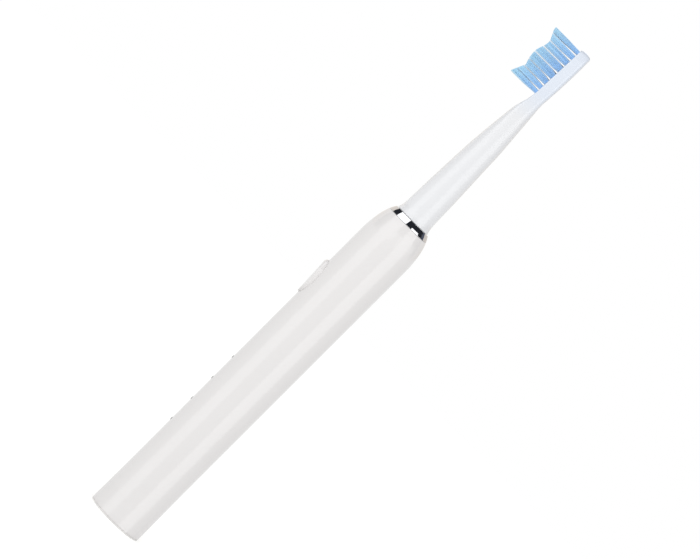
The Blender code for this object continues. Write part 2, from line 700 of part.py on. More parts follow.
def make_cap_seal():
    """O-ring in the plug's groove."""
    room = SHELL_BORE - (PLUG_RADIUS - GROOVE_DEPTH)
    section = room / 2 - SOLDER_GAP
    centre = SHELL_BORE - room / 2
    outline = []
    for i in range(TINY_STEPS):
        angle = math.tau * i / TINY_STEPS
        outline.append((centre + section * math.cos(angle), section * math.sin(angle)))
    at = (0, 0, GROOVE_BOTTOM + GROOVE_HEIGHT / 2)
    return turned("cap_seal", outline, at=at)


def make_charging_bobbin():
    """Spool that slides over the socket's outer wall."""
    inner = SOCKET_RADIUS + SOCKET_WALL + SEAT_GAP
    barrel = inner + BOBBIN_WALL
    rim = PLUG_RADIUS - PLUG_WALL - SEAT_GAP
    outline = (
        (inner, 0),
        (rim, 0),
        (rim, BOBBIN_FLANGE),
        (barrel, BOBBIN_FLANGE),
        (barrel, BOBBIN_HEIGHT - BOBBIN_FLANGE),
        (rim, BOBBIN_HEIGHT - BOBBIN_FLANGE),
        (rim, BOBBIN_HEIGHT),
        (inner, BOBBIN_HEIGHT),
    )
    return turned("charging_bobbin", outline, at=(0, 0, CAP_FLOOR + SEAT_GAP))


def make_charging_coil():
    """Secondary winding of the inductive charger."""
    inner = SOCKET_RADIUS + SOCKET_WALL + SEAT_GAP + BOBBIN_WALL + SOLDER_GAP
    room = BOBBIN_HEIGHT - 2 * BOBBIN_FLANGE - 2 * SOLDER_GAP
    bottom = CAP_FLOOR + SEAT_GAP + BOBBIN_FLANGE + SOLDER_GAP
    return tube("charging_coil", inner, inner + COIL_BUILD, room, at=(0, 0, bottom))


def make_bulkhead(name, bottom):
    """Round wall with a flat front and two wire notches, across the whole bore."""
    plate = disc(name, BULKHEAD_RADIUS, BULKHEAD, at=(0, 0, bottom))
    front = block(
        f"{name}_front",
        (-HANDLE_RADIUS, -HANDLE_RADIUS - OVERRUN, bottom - OVERRUN),
        (HANDLE_RADIUS, WEB_FRONT + WEB_THICKNESS / 2, bottom + BULKHEAD + OVERRUN),
    )
    cut(plate, front)
    for side in (-1, 1):
        at = (side * BULKHEAD_RADIUS, NOTCH_BACK, bottom - OVERRUN)
        notch = disc(
            f"{name}_notch_{side + 2}",
            BULKHEAD_NOTCH,
            BULKHEAD + 2 * OVERRUN,
            SMALL_STEPS,
            at,
        )
        cut(plate, notch)
    return plate


def make_chassis_web():
    """The web's outline: wide between the lower and motor bulkheads, narrow elsewhere."""
    wide_bottom = CHASSIS_BOTTOM + BULKHEAD / 2
    wide_top = MOTOR_BULKHEAD + BULKHEAD / 2
    right = (
        (WEB_HALF_WIDTH, CHASSIS_BOTTOM),
        (WEB_HALF_WIDTH, wide_bottom),
        (BAY_HALF_WIDTH, wide_bottom),
        (BAY_HALF_WIDTH, wide_top),
        (WEB_HALF_WIDTH, wide_top),
        (WEB_HALF_WIDTH, BOARD_TOP),
    )
    left = tuple((-x, height) for x, height in reversed(right))
    return extruded("chassis", right + left, WEB_FRONT, WEB_BACK)


def make_chassis():
    """Inner frame: web, battery rails and bulkheads, moulded as one piece."""
    chassis = make_chassis_web()
    for side in (-1, 1):
        outer = side * (BAY_HALF_WIDTH - RAIL_INSET)
        inner = outer - side * RAIL_THICKNESS
        rail = block(
            f"chassis_rail_{side + 2}",
            (min(inner, outer), WEB_FRONT + WEB_THICKNESS / 2, CHASSIS_BOTTOM + BULKHEAD / 3),
            (max(inner, outer), RAIL_BACK, MOTOR_BULKHEAD + BULKHEAD / 3),
        )
        join(chassis, rail)
    for name, bottom in (
        ("lower_bulkhead", CHASSIS_BOTTOM),
        ("cell_bulkhead", CELL_BULKHEAD),
        ("motor_bulkhead", MOTOR_BULKHEAD),
    ):
        join(chassis, make_bulkhead(name, bottom))
    for name, bottom in (("lower", LOWER_TAB), ("upper", UPPER_TAB)):
        slot = block(
            f"{name}_tab_slot",
            (-TAB_HALF_WIDTH - SEAT_GAP, WEB_FRONT - OVERRUN, bottom - TAB_SLOT_GAP),
            (TAB_HALF_WIDTH + SEAT_GAP, WEB_BACK + SEAT_GAP, bottom + TAB_THICKNESS + TAB_SLOT_GAP),
        )
        cut(chassis, slot)
    for name, height in screw_heights():
        at = (0, WEB_FRONT + SCREW_LENGTH, height)
        hole = disc(
            f"{name}_hole",
            SCREW_RADIUS + SCREW_HOLE_GAP,
            SCREW_LENGTH + OVERRUN,
            TINY_STEPS,
            at,
            "Y",
        )
        cut(chassis, hole)
    return chassis


def screw_heights():
    """The two screws go into the thick lower and motor bulkheads."""
    return (
        ("lower_board_screw", CHASSIS_BOTTOM + BULKHEAD / 2),
        ("upper_board_screw", MOTOR_BULKHEAD + BULKHEAD / 2),
    )


def make_battery_cell():
    """Lithium cell with its positive nipple upward."""
    outline = (
        (0, 0),
        (CELL_RADIUS - CELL_EDGE, 0),
        (CELL_RADIUS, CELL_EDGE),
        (CELL_RADIUS, CELL_LENGTH - CELL_EDGE),
        (CELL_RADIUS - CELL_EDGE, CELL_LENGTH),
        (CELL_NIPPLE_RADIUS, CELL_LENGTH),
        (CELL_NIPPLE_RADIUS, CELL_LENGTH + CELL_NIPPLE_HEIGHT),
        (0, CELL_LENGTH + CELL_NIPPLE_HEIGHT),
    )
    return turned("battery_cell", outline, at=(0, CELL_CENTRE_Y, CELL_BOTTOM))


def make_battery_tab(name, bottom):
    """Nickel strip from the cell's end through the web to the board."""
    return block(
        name,
        (-TAB_HALF_WIDTH, WEB_FRONT + SOLDER_GAP, bottom),
        (TAB_HALF_WIDTH, CELL_CENTRE_Y + TAB_REACH / 2, bottom + TAB_THICKNESS),
    )


def make_circuit_board():
    """Laminate board with cut corners and two screw holes."""
    half = BOARD_HALF_WIDTH
    shoulder = half - BOARD_CORNER
    outline = (
        (-shoulder, BOARD_BOTTOM),
        (shoulder, BOARD_BOTTOM),
        (half, BOARD_BOTTOM + BOARD_CORNER),
        (half, BOARD_TOP - BOARD_CORNER),
        (shoulder, BOARD_TOP),
        (-shoulder, BOARD_TOP),
        (-half, BOARD_TOP - BOARD_CORNER),
        (-half, BOARD_BOTTOM + BOARD_CORNER),
    )
    board = extruded("circuit_board", outline, BOARD_FRONT, BOARD_BACK)
    for name, height in screw_heights():
        hole = disc(
            f"{name}_board_hole",
            SCREW_RADIUS + SCREW_HOLE_GAP,
            BOARD_THICKNESS + 2 * OVERRUN,
            TINY_STEPS,
            (0, BOARD_BACK + OVERRUN, height),
            "Y",
        )
        cut(board, hole)
    return board


def make_board_screw(name, height):
    """Pan-head screw with a drive recess, pointing into the handle."""
    length = SCREW_LENGTH - SEAT_GAP
    head = length + BOARD_THICKNESS + 2 * SOLDER_GAP
    outline = (
        (0, 0),
        (SCREW_RADIUS, 0),
        (SCREW_RADIUS, head),
        (SCREW_HEAD_RADIUS, head),
        (SCREW_HEAD_RADIUS, head + SCREW_HEAD),
        (SCREW_DRIVE_RADIUS, head + SCREW_HEAD),
        (SCREW_DRIVE_RADIUS, head + SCREW_HEAD - SCREW_DRIVE_DEPTH),
        (0, head + SCREW_HEAD - SCREW_DRIVE_DEPTH),
    )
    return turned(name, outline, TINY_STEPS, (0, WEB_FRONT + length, height), "Y")


def make_board_block(name, half_width, half_length, thickness, height):
    """A component that sits on the front of the board."""
    return block(
        name,
        (-half_width, PART_SEAT - thickness, height - half_length),
        (half_width, PART_SEAT, height + half_length),
    )


def make_power_inductor():
    """Drum inductor of the charging circuit."""
    at = (0, PART_SEAT, INDUCTOR_Z)
    return disc("power_inductor", INDUCTOR_RADIUS, INDUCTOR_HEIGHT, SMALL_STEPS, at, "Y")


def make_light_guide(index):
    """Clear pin through the wall, held by a flange on the inside."""
    inner_end = -(PART_SEAT - LED_HEIGHT - SEAT_GAP)
    outer_end = HANDLE_RADIUS + GUIDE_PROUD
    flange_front = SHELL_BORE - SEAT_GAP
    outline = (
        (0, 0),
        (GUIDE_RADIUS, 0),
        (GUIDE_RADIUS, flange_front - GUIDE_FLANGE - inner_end),
        (GUIDE_FLANGE_RADIUS, flange_front - GUIDE_FLANGE - inner_end),
        (GUIDE_FLANGE_RADIUS, flange_front - inner_end),
        (GUIDE_RADIUS, flange_front - inner_end),
        (GUIDE_RADIUS, outer_end - inner_end - GUIDE_PROUD / 2),
        (GUIDE_RADIUS - GUIDE_PROUD / 2, outer_end - inner_end),
        (0, outer_end - inner_end),
    )
    at = (0, -inner_end, LIGHT_FIRST + index * LIGHT_PITCH)
    return turned(f"light_guide_{index + 1}", outline, SMALL_STEPS, at, "Y")


def make_switch_housing():
    """Square body of the tactile switch, bored for its plunger."""
    half = SWITCH_SIDE / 2
    housing = make_board_block("switch_housing", half, half, SWITCH_HEIGHT, BUTTON_CENTRE)
    bore = disc(
        "switch_bore",
        SWITCH_BORE,
        SWITCH_HEIGHT - SWITCH_FLOOR + OVERRUN,
        SMALL_STEPS,
        (0, PART_SEAT - SWITCH_FLOOR, BUTTON_CENTRE),
        "Y",
    )
    return cut(housing, bore)


def make_switch_plunger():
    """Round plunger that the button's boss presses."""
    at = (0, PLUNGER_BACK, BUTTON_CENTRE)
    return disc("switch_plunger", PLUNGER_RADIUS, PLUNGER_LENGTH, SMALL_STEPS, at, "Y")


def button_front(x, rise):
    """Front of the button at a place on its face, as a distance forward of the axis."""
    share = (rise + BUTTON_HALF_LENGTH) / (2 * BUTTON_HALF_LENGTH)
    proud = BUTTON_PROUD_LOW + (BUTTON_PROUD_HIGH - BUTTON_PROUD_LOW) * share
    return HANDLE_RADIUS + proud - BUTTON_CROWN * (x / BUTTON_HALF_WIDTH) ** 2


def make_button_cap():
    """Wedge-shaped pad, curved retaining flange and the boss over the switch."""
    outline = button_outline()
    root = BUTTON_FLANGE_RADIUS - BUTTON_FLANGE / 2
    rings = [[(x, -root / 2, rise) for x, rise in outline]]
    for step in range(BUTTON_EDGE_STEPS + 1):
        turn = math.radians(90) * step / BUTTON_EDGE_STEPS
        ring = []
        for x, rise in outline:
            share = (rise + BUTTON_HALF_LENGTH) / (2 * BUTTON_HALF_LENGTH)
            rounding = share**BUTTON_EDGE_EXPONENT
            edge = BUTTON_EDGE_LOW + (BUTTON_EDGE_HIGH - BUTTON_EDGE_LOW) * rounding
            shrink = 1 - edge * (1 - math.cos(turn)) / math.hypot(x, rise)
            depth = button_front(x * shrink, rise * shrink) - edge * (1 - math.sin(turn))
            ring.append((x * shrink, -depth, rise * shrink))
        rings.append(ring)
    for share in BUTTON_RING_SHARES:
        rings.append([(x * share, -button_front(x * share, z * share), z * share) for x, _, z in ring])
    pad = lofted("button_cap", rings, (0, 0, BUTTON_CENTRE))
    hollow_bottom = BUTTON_CENTRE - BUTTON_HALF_LENGTH - OVERRUN
    hollow_height = 2 * (BUTTON_HALF_LENGTH + OVERRUN)
    cut(pad, disc("button_hollow", root, hollow_height, SHELL_STEPS, (0, 0, hollow_bottom)))
    flange = tube(
        "button_flange",
        BUTTON_FLANGE_RADIUS - BUTTON_FLANGE,
        BUTTON_FLANGE_RADIUS,
        hollow_height,
        SHELL_STEPS,
        (0, 0, hollow_bottom),
    )
    plan = button_outline(BUTTON_FLANGE_LAP)
    at = (0, 0, BUTTON_CENTRE)
    outline_tool = extruded("button_flange_plan", plan, -HANDLE_RADIUS, 0, at)
    combine(flange, outline_tool, "INTERSECT")
    boss = disc(
        "button_boss",
        BUTTON_BOSS_RADIUS,
        HANDLE_RADIUS + BOSS_END,
        SMALL_STEPS,
        (0, BOSS_END, BUTTON_CENTRE),
        "Y",
    )
    return join(pad, flange, boss)


def make_motor_frame():
    """C-shaped steel channel that holds the motor, open towards the board."""
    frame = tube(
        "motor_frame",
        FRAME_BORE,
        FRAME_RADIUS,
        FRAME_LENGTH,
        at=(0, 0, FRAME_BOTTOM),
    )
    opening = block(
        "motor_frame_front",
        (-HANDLE_RADIUS, -HANDLE_RADIUS, FRAME_BOTTOM - OVERRUN),
        (HANDLE_RADIUS, FRAME_FRONT, FRAME_TOP + OVERRUN),
    )
    return cut(frame, opening)


def make_motor_plate(name, bottom, thickness):
    """Disc with a flat front that closes the motor frame's bore."""
    plate = disc(name, PLATE_RADIUS, thickness, at=(0, 0, bottom))
    front = block(
        f"{name}_front",
        (-HANDLE_RADIUS, -HANDLE_RADIUS, bottom - OVERRUN),
        (HANDLE_RADIUS, PLATE_FRONT, bottom + thickness + OVERRUN),
    )
    return cut(plate, front)


def make_bush_seat(plate, bottom):
    """Bore a motor plate for its bush."""
    at = (0, 0, bottom - OVERRUN)
    height = PLATE_THICKNESS + 2 * OVERRUN
    bore = disc(f"{plate.name}_bore", BUSH_SEAT_BORE, height, at=at)
    return cut(plate, bore)


def make_rear_plate():
    """Bush carrier between the stator's arms, notched to let them pass."""
    plate = make_motor_plate("rear_bush_plate", REAR_PLATE_BOTTOM, PLATE_THICKNESS)
    for side in (-1, 1):
        inner = side * (ARM_INNER - SEAT_GAP)
        outer = side * HANDLE_RADIUS
        notch = block(
            f"rear_plate_notch_{side + 2}",
            (min(inner, outer), -NOTCH_HALF_DEPTH, REAR_PLATE_BOTTOM - OVERRUN),
            (max(inner, outer), NOTCH_HALF_DEPTH, REAR_PLATE_TOP + OVERRUN),
        )
        cut(plate, notch)
    return make_bush_seat(plate, REAR_PLATE_BOTTOM)


def make_bush(name, bottom):
    """Bush in a motor plate, with its flange on top of the plate."""
    height = PLATE_THICKNESS + SEAT_GAP
    outline = (
        (BUSH_BORE, 0),
        (BUSH_RADIUS, 0),
        (BUSH_RADIUS, height),
        (BUSH_FLANGE_RADIUS, height),
        (BUSH_FLANGE_RADIUS, height + BUSH_FLANGE),
        (BUSH_BORE, height + BUSH_FLANGE),
    )
    return turned(name, outline, at=(0, 0, bottom))


def make_stator_core():
    """Laminated E-core, its poles bored round the rotor."""
    outline = (
        (-CORE_HALF_WIDTH, CORE_BOTTOM),
        (CORE_HALF_WIDTH, CORE_BOTTOM),
        (CORE_HALF_WIDTH, ROTOR_TOP),
        (POLE_INNER, ROTOR_TOP),
        (POLE_INNER, ROTOR_BOTTOM),
        (ARM_INNER, ROTOR_BOTTOM - (ARM_INNER - POLE_INNER)),
        (ARM_INNER, LEG_BOTTOM),
        (LEG_HALF_WIDTH, LEG_BOTTOM),
        (LEG_HALF_WIDTH, LEG_TOP),
        (-LEG_HALF_WIDTH, LEG_TOP),
        (-LEG_HALF_WIDTH, LEG_BOTTOM),
        (-ARM_INNER, LEG_BOTTOM),
        (-ARM_INNER, ROTOR_BOTTOM - (ARM_INNER - POLE_INNER)),
        (-POLE_INNER, ROTOR_BOTTOM),
        (-POLE_INNER, ROTOR_TOP),
        (-CORE_HALF_WIDTH, ROTOR_TOP),
    )
    core = extruded("stator_core", outline, -CORE_HALF_DEPTH, CORE_HALF_DEPTH)
    at = (0, 0, REAR_PLATE_TOP)
    height = ROTOR_TOP - REAR_PLATE_TOP + OVERRUN
    bore = disc("stator_bore", POLE_BORE, height, at=at)
    return cut(core, bore)


def make_motor_reel():
    """Bobbin on the core's middle leg."""
    bottom = LEG_BOTTOM + SEAT_GAP
    top = LEG_TOP
    barrel_x = LEG_HALF_WIDTH + SEAT_GAP + REEL_WALL
    barrel_y = CORE_HALF_DEPTH + SEAT_GAP + REEL_WALL
    reel = block(
        "motor_bobbin",
        (-barrel_x, -barrel_y, bottom),
        (barrel_x, barrel_y, top),
    )
    for name, low in (("lower", bottom), ("upper", top - REEL_FLANGE)):
        flange = block(
            f"motor_bobbin_{name}_flange",
            (-REEL_HALF_WIDTH, -REEL_HALF_DEPTH, low),
            (REEL_HALF_WIDTH, REEL_HALF_DEPTH, low + REEL_FLANGE),
        )
        join(reel, flange)
    hole = block(
        "motor_bobbin_hole",
        (-LEG_HALF_WIDTH - SEAT_GAP, -CORE_HALF_DEPTH - SEAT_GAP, bottom - OVERRUN),
        (LEG_HALF_WIDTH + SEAT_GAP, CORE_HALF_DEPTH + SEAT_GAP, top + OVERRUN),
    )
    return cut(reel, hole)


def make_motor_winding():
    """Copper winding on the bobbin."""
    bottom = LEG_BOTTOM + SEAT_GAP + REEL_FLANGE + SOLDER_GAP
    top = LEG_TOP - REEL_FLANGE - SOLDER_GAP
    outer_x = REEL_HALF_WIDTH - WINDING_INSET
    outer_y = REEL_HALF_DEPTH - SOLDER_GAP
    inner_x = LEG_HALF_WIDTH + SEAT_GAP + REEL_WALL + SOLDER_GAP
    inner_y = CORE_HALF_DEPTH + SEAT_GAP + REEL_WALL + SOLDER_GAP
    winding = block("motor_winding", (-outer_x, -outer_y, bottom), (outer_x, outer_y, top))
    hole = block(
        "motor_winding_hole",
        (-inner_x, -inner_y, bottom - OVERRUN),
        (inner_x, inner_y, top + OVERRUN),
    )
    return cut(winding, hole)


def make_damper(name, bottom):
    """Rubber ring between the motor frame and the shell."""
    inner = DAMPER_RADIUS - DAMPER_THICKNESS
    return tube(name, inner, DAMPER_RADIUS, DAMPER_HEIGHT, at=(0, 0, bottom))


def make_drive_shaft():
    """Steel shaft from the rear bush, through the neck, to its flat for the head."""
    length = SHAFT_TOP - SHAFT_BOTTOM
    clip_low = clip_bottom() - SEAT_GAP - SHAFT_BOTTOM
    clip_high = clip_low + CLIP_THICKNESS + 2 * SEAT_GAP
    outline = (
        (0, 0),
        (SHAFT_RADIUS - SHAFT_EDGE, 0),
        (SHAFT_RADIUS, SHAFT_EDGE),
        (SHAFT_RADIUS, clip_low),
        (CLIP_GROOVE_RADIUS, clip_low),
        (CLIP_GROOVE_RADIUS, clip_high),
        (SHAFT_RADIUS, clip_high),
        (SHAFT_RADIUS, length - SHAFT_EDGE),
        (SHAFT_RADIUS - SHAFT_EDGE, length),
        (0, length),
    )
    shaft = turned("drive_shaft", outline, at=(0, 0, SHAFT_BOTTOM))
    flat = block(
        "shaft_flat",
        (-SHAFT_RADIUS - OVERRUN, -SHAFT_RADIUS - OVERRUN, SHAFT_TOP - SHAFT_FLAT_LENGTH),
        (SHAFT_RADIUS + OVERRUN, -SHAFT_RADIUS + SHAFT_FLAT_DEPTH, SHAFT_TOP + OVERRUN),
    )
    return cut(shaft, flat)


def clip_bottom():
    """Height of the clip that keeps the shaft down against the front bush."""
    bush_top = FRONT_PLATE_BOTTOM + PLATE_THICKNESS + SEAT_GAP + BUSH_FLANGE
    return bush_top + SEAT_GAP


def make_retaining_clip():
    """Open clip in the shaft's groove."""
    return arc_block(
        "retaining_clip",
        CLIP_GROOVE_RADIUS + SOLDER_GAP,
        CLIP_RADIUS,
        CLIP_THICKNESS,
        CLIP_MOUTH / 2,
        math.tau - CLIP_MOUTH,
        CLIP_STEPS,
        (0, 0, clip_bottom()),
    )


def make_magnet(index):
    """One arc magnet on the rotor's yoke."""
    start = math.tau * index / MAGNET_COUNT - MAGNET_SPAN / 2
    return arc_block(
        f"rotor_magnet_{index + 1}",
        MAGNET_BORE,
        MAGNET_RADIUS,
        ROTOR_LENGTH,
        start,
        MAGNET_SPAN,
        MAGNET_STEPS,
        (0, 0, ROTOR_BOTTOM),
    )


def plate_half_width(height):
    """Half-width of the head at a height, with the plate's rounded end."""
    share = (height - HEAD_BOTTOM) / HEAD_LENGTH
    last_share = HEAD_STATION_SHARES[-1][0]
    width = HEAD_RADIUS * between(HEAD_STATION_SHARES, min(share, last_share))[2]
    if share > last_share:
        step = min((share - last_share) / (1 - last_share), 1)
        width *= (1 - step**TIP_EXPONENT) ** (1 / TIP_EXPONENT)
    return width


def plate_front(height):
    """Front of the brush plate at a height, as a distance forward of the axis."""
    last = HEAD_STATION_SHARES[-1]
    first = HEAD_STATION_SHARES[-3]
    share = (height - HEAD_BOTTOM) / HEAD_LENGTH
    slope = (last[1] - first[1]) / (last[0] - first[0])
    return HEAD_RADIUS * (last[1] + slope * (share - last[0]))


def head_ring(height, front, back, width, square, crown=0):
    """A section of the head: round on the stem, nearly square-fronted on the plate."""
    middle = (back - front) / 2
    depth = (back + front) / 2
    ring = []
    for i in range(HEAD_POINTS):
        angle = math.tau * i / HEAD_POINTS
        facing = BACK_SQUARENESS if math.sin(angle) > 0 else FRONT_SQUARENESS
        exponent = 2 / (2 + facing * square)
        x = width * signed_power(math.cos(angle), exponent)
        y = middle + depth * signed_power(math.sin(angle), exponent)
        ring.append((x, y, height + crown * (1 - ((y - middle) / depth) ** 2)))
    return ring


def make_head_body():
    """Hollow stem and brush plate, lofted through the head's stations."""
    rings = []
    for height, front, back, width, square in HEAD_STATION_SHARES:
        sizes = [HEAD_RADIUS * share for share in (front, back, width)]
        rings.append(head_ring(height * HEAD_LENGTH, *sizes, square))
    last = HEAD_STATION_SHARES[-1]
    last_width = HEAD_RADIUS * last[3]
    for share in TIP_SHARES:
        height = HEAD_LENGTH * (last[0] + (1 - last[0]) * share)
        front = HEAD_RADIUS * (last[1] + (TIP_FRONT_SHARE - last[1]) * share)
        back = HEAD_RADIUS * (last[2] + (TIP_BACK_SHARE - last[2]) * share)
        rounded = (1 - share**TIP_EXPONENT) ** (1 / TIP_EXPONENT)
        width = last_width * max(rounded, TIP_FLAT_SHARE)
        crown = TIP_CROWN * share**TIP_CROWN_EXPONENT
        rings.append(head_ring(height - crown, front, back, width, 1, crown))
    head = lofted("head_body", rings, (0, 0, HEAD_BOTTOM))
    bore = disc(
        "head_bore",
        HEAD_BORE,
        HEAD_BORE_DEPTH + OVERRUN,
        at=(0, 0, HEAD_BOTTOM - OVERRUN),
    )
    pocket = slab_solid("slab_pocket", PLATE_RIM, -OVERRUN, SLAB_THICKNESS + SLAB_GAP)
    return cut(head, bore, pocket)


def slab_outline(inset):
    """Plan of the bristle slab: the plate's outline, drawn in all round."""
    bottom = FIELD_BOTTOM - SLAB_MARGIN - SLAB_INSET + inset
    top = FIELD_TOP + SLAB_MARGIN + SLAB_INSET - inset
    middle = (bottom + top) / 2
    half = (top - bottom) / 2
    right = []
    for i in range(SLAB_STEPS + 1):
        angle = math.pi * (i / SLAB_STEPS - 0.5)
        height = middle + half * signed_power(math.sin(angle), 2 / SLAB_SQUARE_EXPONENT)
        squared = max(1 - (abs(height - middle) / half) ** SLAB_SQUARE_EXPONENT, 0)
        limit = plate_half_width(height) - inset
        fitted = plate_half_width(middle) * squared ** (1 / SLAB_SQUARE_EXPONENT)
        right.append((max(min(limit, fitted), TUFT_RADIUS), height))
    left = [(-x, height) for x, height in reversed(right)]
    return right + left


def slab_solid(name, inset, front, back):
    """Slab or pocket whose faces follow the tilted front of the plate."""
    outline = slab_outline(inset)
    rings = []
    for depth in (front, back):
        rings.append([(x, depth - plate_front(height), height) for x, height in outline])
    return lofted(name, rings)


def brush_tip(height):
    """Trimmed end of the bristles: tall neck side, valley, hump, valley, tall end."""
    share = (height - FIELD_BOTTOM) / FIELD_LENGTH
    if share < FIRST_VALLEY_SHARE:
        step = share / FIRST_VALLEY_SHARE
        return NECK_TIP + (FIRST_VALLEY - NECK_TIP) * step
    if share < HUMP_SHARE:
        step = (HUMP_SHARE - share) / (HUMP_SHARE - FIRST_VALLEY_SHARE)
        return HUMP_TIP + (FIRST_VALLEY - HUMP_TIP) * step**2
    if share < SECOND_VALLEY_SHARE:
        step = (share - HUMP_SHARE) / (SECOND_VALLEY_SHARE - HUMP_SHARE)
        return HUMP_TIP + (SECOND_VALLEY - HUMP_TIP) * (1 - math.cos(math.pi * step)) / 2
    step = (share - SECOND_VALLEY_SHARE) / (1 - SECOND_VALLEY_SHARE)
    return SECOND_VALLEY + (END_TIP - SECOND_VALLEY) * (1 - math.cos(math.pi * step)) / 2


def tuft_cells():
    """Base centre and splayed tip cell of every tuft, as (x, z, x reach, z centre, z reach)."""
    heights = [FIELD_BOTTOM + share * FIELD_LENGTH for share in ROW_SHARES]
    edges = [FIELD_BOTTOM]
    edges += [(lower + upper) / 2 for lower, upper in zip(heights, heights[1:])]
    edges.append(FIELD_TOP)
    cells = []
    for row, (height, count) in enumerate(zip(heights, ROW_TUFTS)):
        side = plate_half_width(height) - SLAB_INSET - TUFT_SIDE_MARGIN - TUFT_RADIUS
        pitch = 2 * side / (count - 1)
        reach = SPLAY_SHARE * min(pitch / 2, side)
        low, high = edges[row], edges[row + 1]
        for i in range(count):
            x = -side + i * pitch
            cells.append((x, height, reach, (low + high) / 2, SPLAY_SHARE * (high - low) / 2))
    return cells


def strand_offsets():
    """Places of a tuft's strands on rings round its middle, within a unit circle."""
    offsets = []
    for count, share in zip(TUFT_RING_STRANDS, TUFT_RING_SHARES):
        for i in range(count):
            angle = math.tau * (i + share) / count
            offsets.append((share * math.cos(angle), share * math.sin(angle)))
    return offsets


def add_strand(bm, base, slope):
    """One tapering strand, sunk into the slab and cut at the trimmed brush surface."""
    x, height = base
    root = SLAB_THICKNESS / 2 - plate_front(height)
    length = brush_tip(height + slope[1] * (brush_tip(height) - plate_front(height)))
    loops = []
    for depth, scale in ((-root, 1), (length, 1)):
        run = depth - plate_front(height)
        loop = []
        for i in range(STRAND_SIDES):
            angle = math.tau * (i + 0.5) / STRAND_SIDES
            across = x + slope[0] * run + scale * STRAND_RADIUS * math.cos(angle)
            along = height + slope[1] * run + scale * STRAND_RADIUS * math.sin(angle)
            loop.append(bm.verts.new((across, -depth, along)))
        loops.append(loop)
    lower, upper = loops
    for i, vertex in enumerate(lower):
        j = (i + 1) % STRAND_SIDES
        bm.faces.new((vertex, lower[j], upper[j], upper[i]))
    bm.faces.new(list(reversed(lower)))
    bm.faces.new(upper)


def make_bristles():
    """Splayed tufts of strands, fused to the slab that holds their roots."""
    slab = slab_solid("bristles", SLAB_INSET, 0, SLAB_THICKNESS)
    bm = bmesh.new()
    offsets = strand_offsets()
    full_length = max(NECK_TIP, END_TIP)
    for x, height, reach, tip_height, tip_reach in tuft_cells():
        run = full_length - plate_front(height)
        for across, along in offsets:
            base = (x + TUFT_RADIUS * across, height + TUFT_RADIUS * along)
            tip = (x + reach * across, tip_height + tip_reach * along)
            slope = ((tip[0] - base[0]) / run, (tip[1] - base[1]) / run)
            add_strand(bm, base, slope)
    strands = make_object("bristle_strands", bm)
    return join(slab, strands)


def make_head_sleeve():
    """Plastic sleeve with the shaft's bore and the slot of the spring clip."""
    sleeve = disc(
        "head_sleeve",
        SLEEVE_RADIUS,
        SLEEVE_TOP - SLEEVE_BOTTOM,
        at=(0, 0, SLEEVE_BOTTOM),
    )
    bore = disc(
        "sleeve_bore",
        SLEEVE_BORE,
        SHAFT_TOP + SLEEVE_ROOM - SLEEVE_BOTTOM + OVERRUN,
        at=(0, 0, SLEEVE_BOTTOM - OVERRUN),
    )
    slot = block(
        "sleeve_slot",
        (-CLIP_LEAF_HALF_WIDTH - SEAT_GAP, CLIP_SLOT_FLOOR, SLEEVE_BOTTOM - OVERRUN),
        (CLIP_LEAF_HALF_WIDTH + SEAT_GAP, 0, SHAFT_TOP + SLEEVE_ROOM),
    )
    return cut(sleeve, bore, slot)


def make_head_clip():
    """Steel leaf that presses on the shaft's flat."""
    bottom = SHAFT_TOP - CLIP_LEAF_LENGTH
    return block(
        "head_clip",
        (-CLIP_LEAF_HALF_WIDTH, CLIP_LEAF_BACK - CLIP_LEAF, bottom),
        (CLIP_LEAF_HALF_WIDTH, CLIP_LEAF_BACK, SHAFT_TOP),
    )


def build_handle(finish, body):
    """Outer parts of the handle."""
    dress(make_handle_shell(), finish["handle_plastic"], body)
    dress(make_neck_ring(), finish["chrome_plate"], body)
    dress(make_shaft_seal(), finish["seal_rubber"], body)
    dress(make_bottom_cap(), finish["handle_plastic"], body)
    dress(make_cap_seal(), finish["seal_rubber"], body)
    for index in range(LIGHT_COUNT):
        dress(make_light_guide(index), finish["light_guide"], body)


def build_power(finish, body):
    """Charging coil, chassis, cell, board and its components."""
    dress(make_charging_bobbin(), finish["bobbin_plastic"], body)
    dress(make_charging_coil(), finish["copper_winding"], body)
    dress(make_chassis(), finish["chassis_plastic"], body)
    dress(make_battery_cell(), finish["cell_sleeve"], body)
    dress(make_battery_tab("lower_battery_tab", LOWER_TAB), finish["nickel_strip"], body)
    dress(make_battery_tab("upper_battery_tab", UPPER_TAB), finish["nickel_strip"], body)
    dress(make_circuit_board(), finish["board_laminate"], body)
    for name, height in screw_heights():
        dress(make_board_screw(name, height), finish["shaft_steel"], body)
    half = CONTROLLER_SIDE / 2
    controller = make_board_block("motor_controller", half, half, CHIP_HEIGHT, CONTROLLER_Z)
    dress(controller, finish["chip_epoxy"], body)
    half = CHARGER_SIDE / 2
    charger = make_board_block("charge_controller", half, half, CHIP_HEIGHT, CHARGER_Z)
    dress(charger, finish["chip_epoxy"], body)
    dress(make_power_inductor(), finish["chip_epoxy"], body)
    for index in range(LIGHT_COUNT):
        height = LIGHT_FIRST + index * LIGHT_PITCH
        led = make_board_block(
            f"charge_led_{index + 1}", LED_HALF_WIDTH, LED_HALF_LENGTH, LED_HEIGHT, height
        )
        dress(led, finish["led_package"], body)
    dress(make_switch_housing(), finish["switch_plastic"], body)


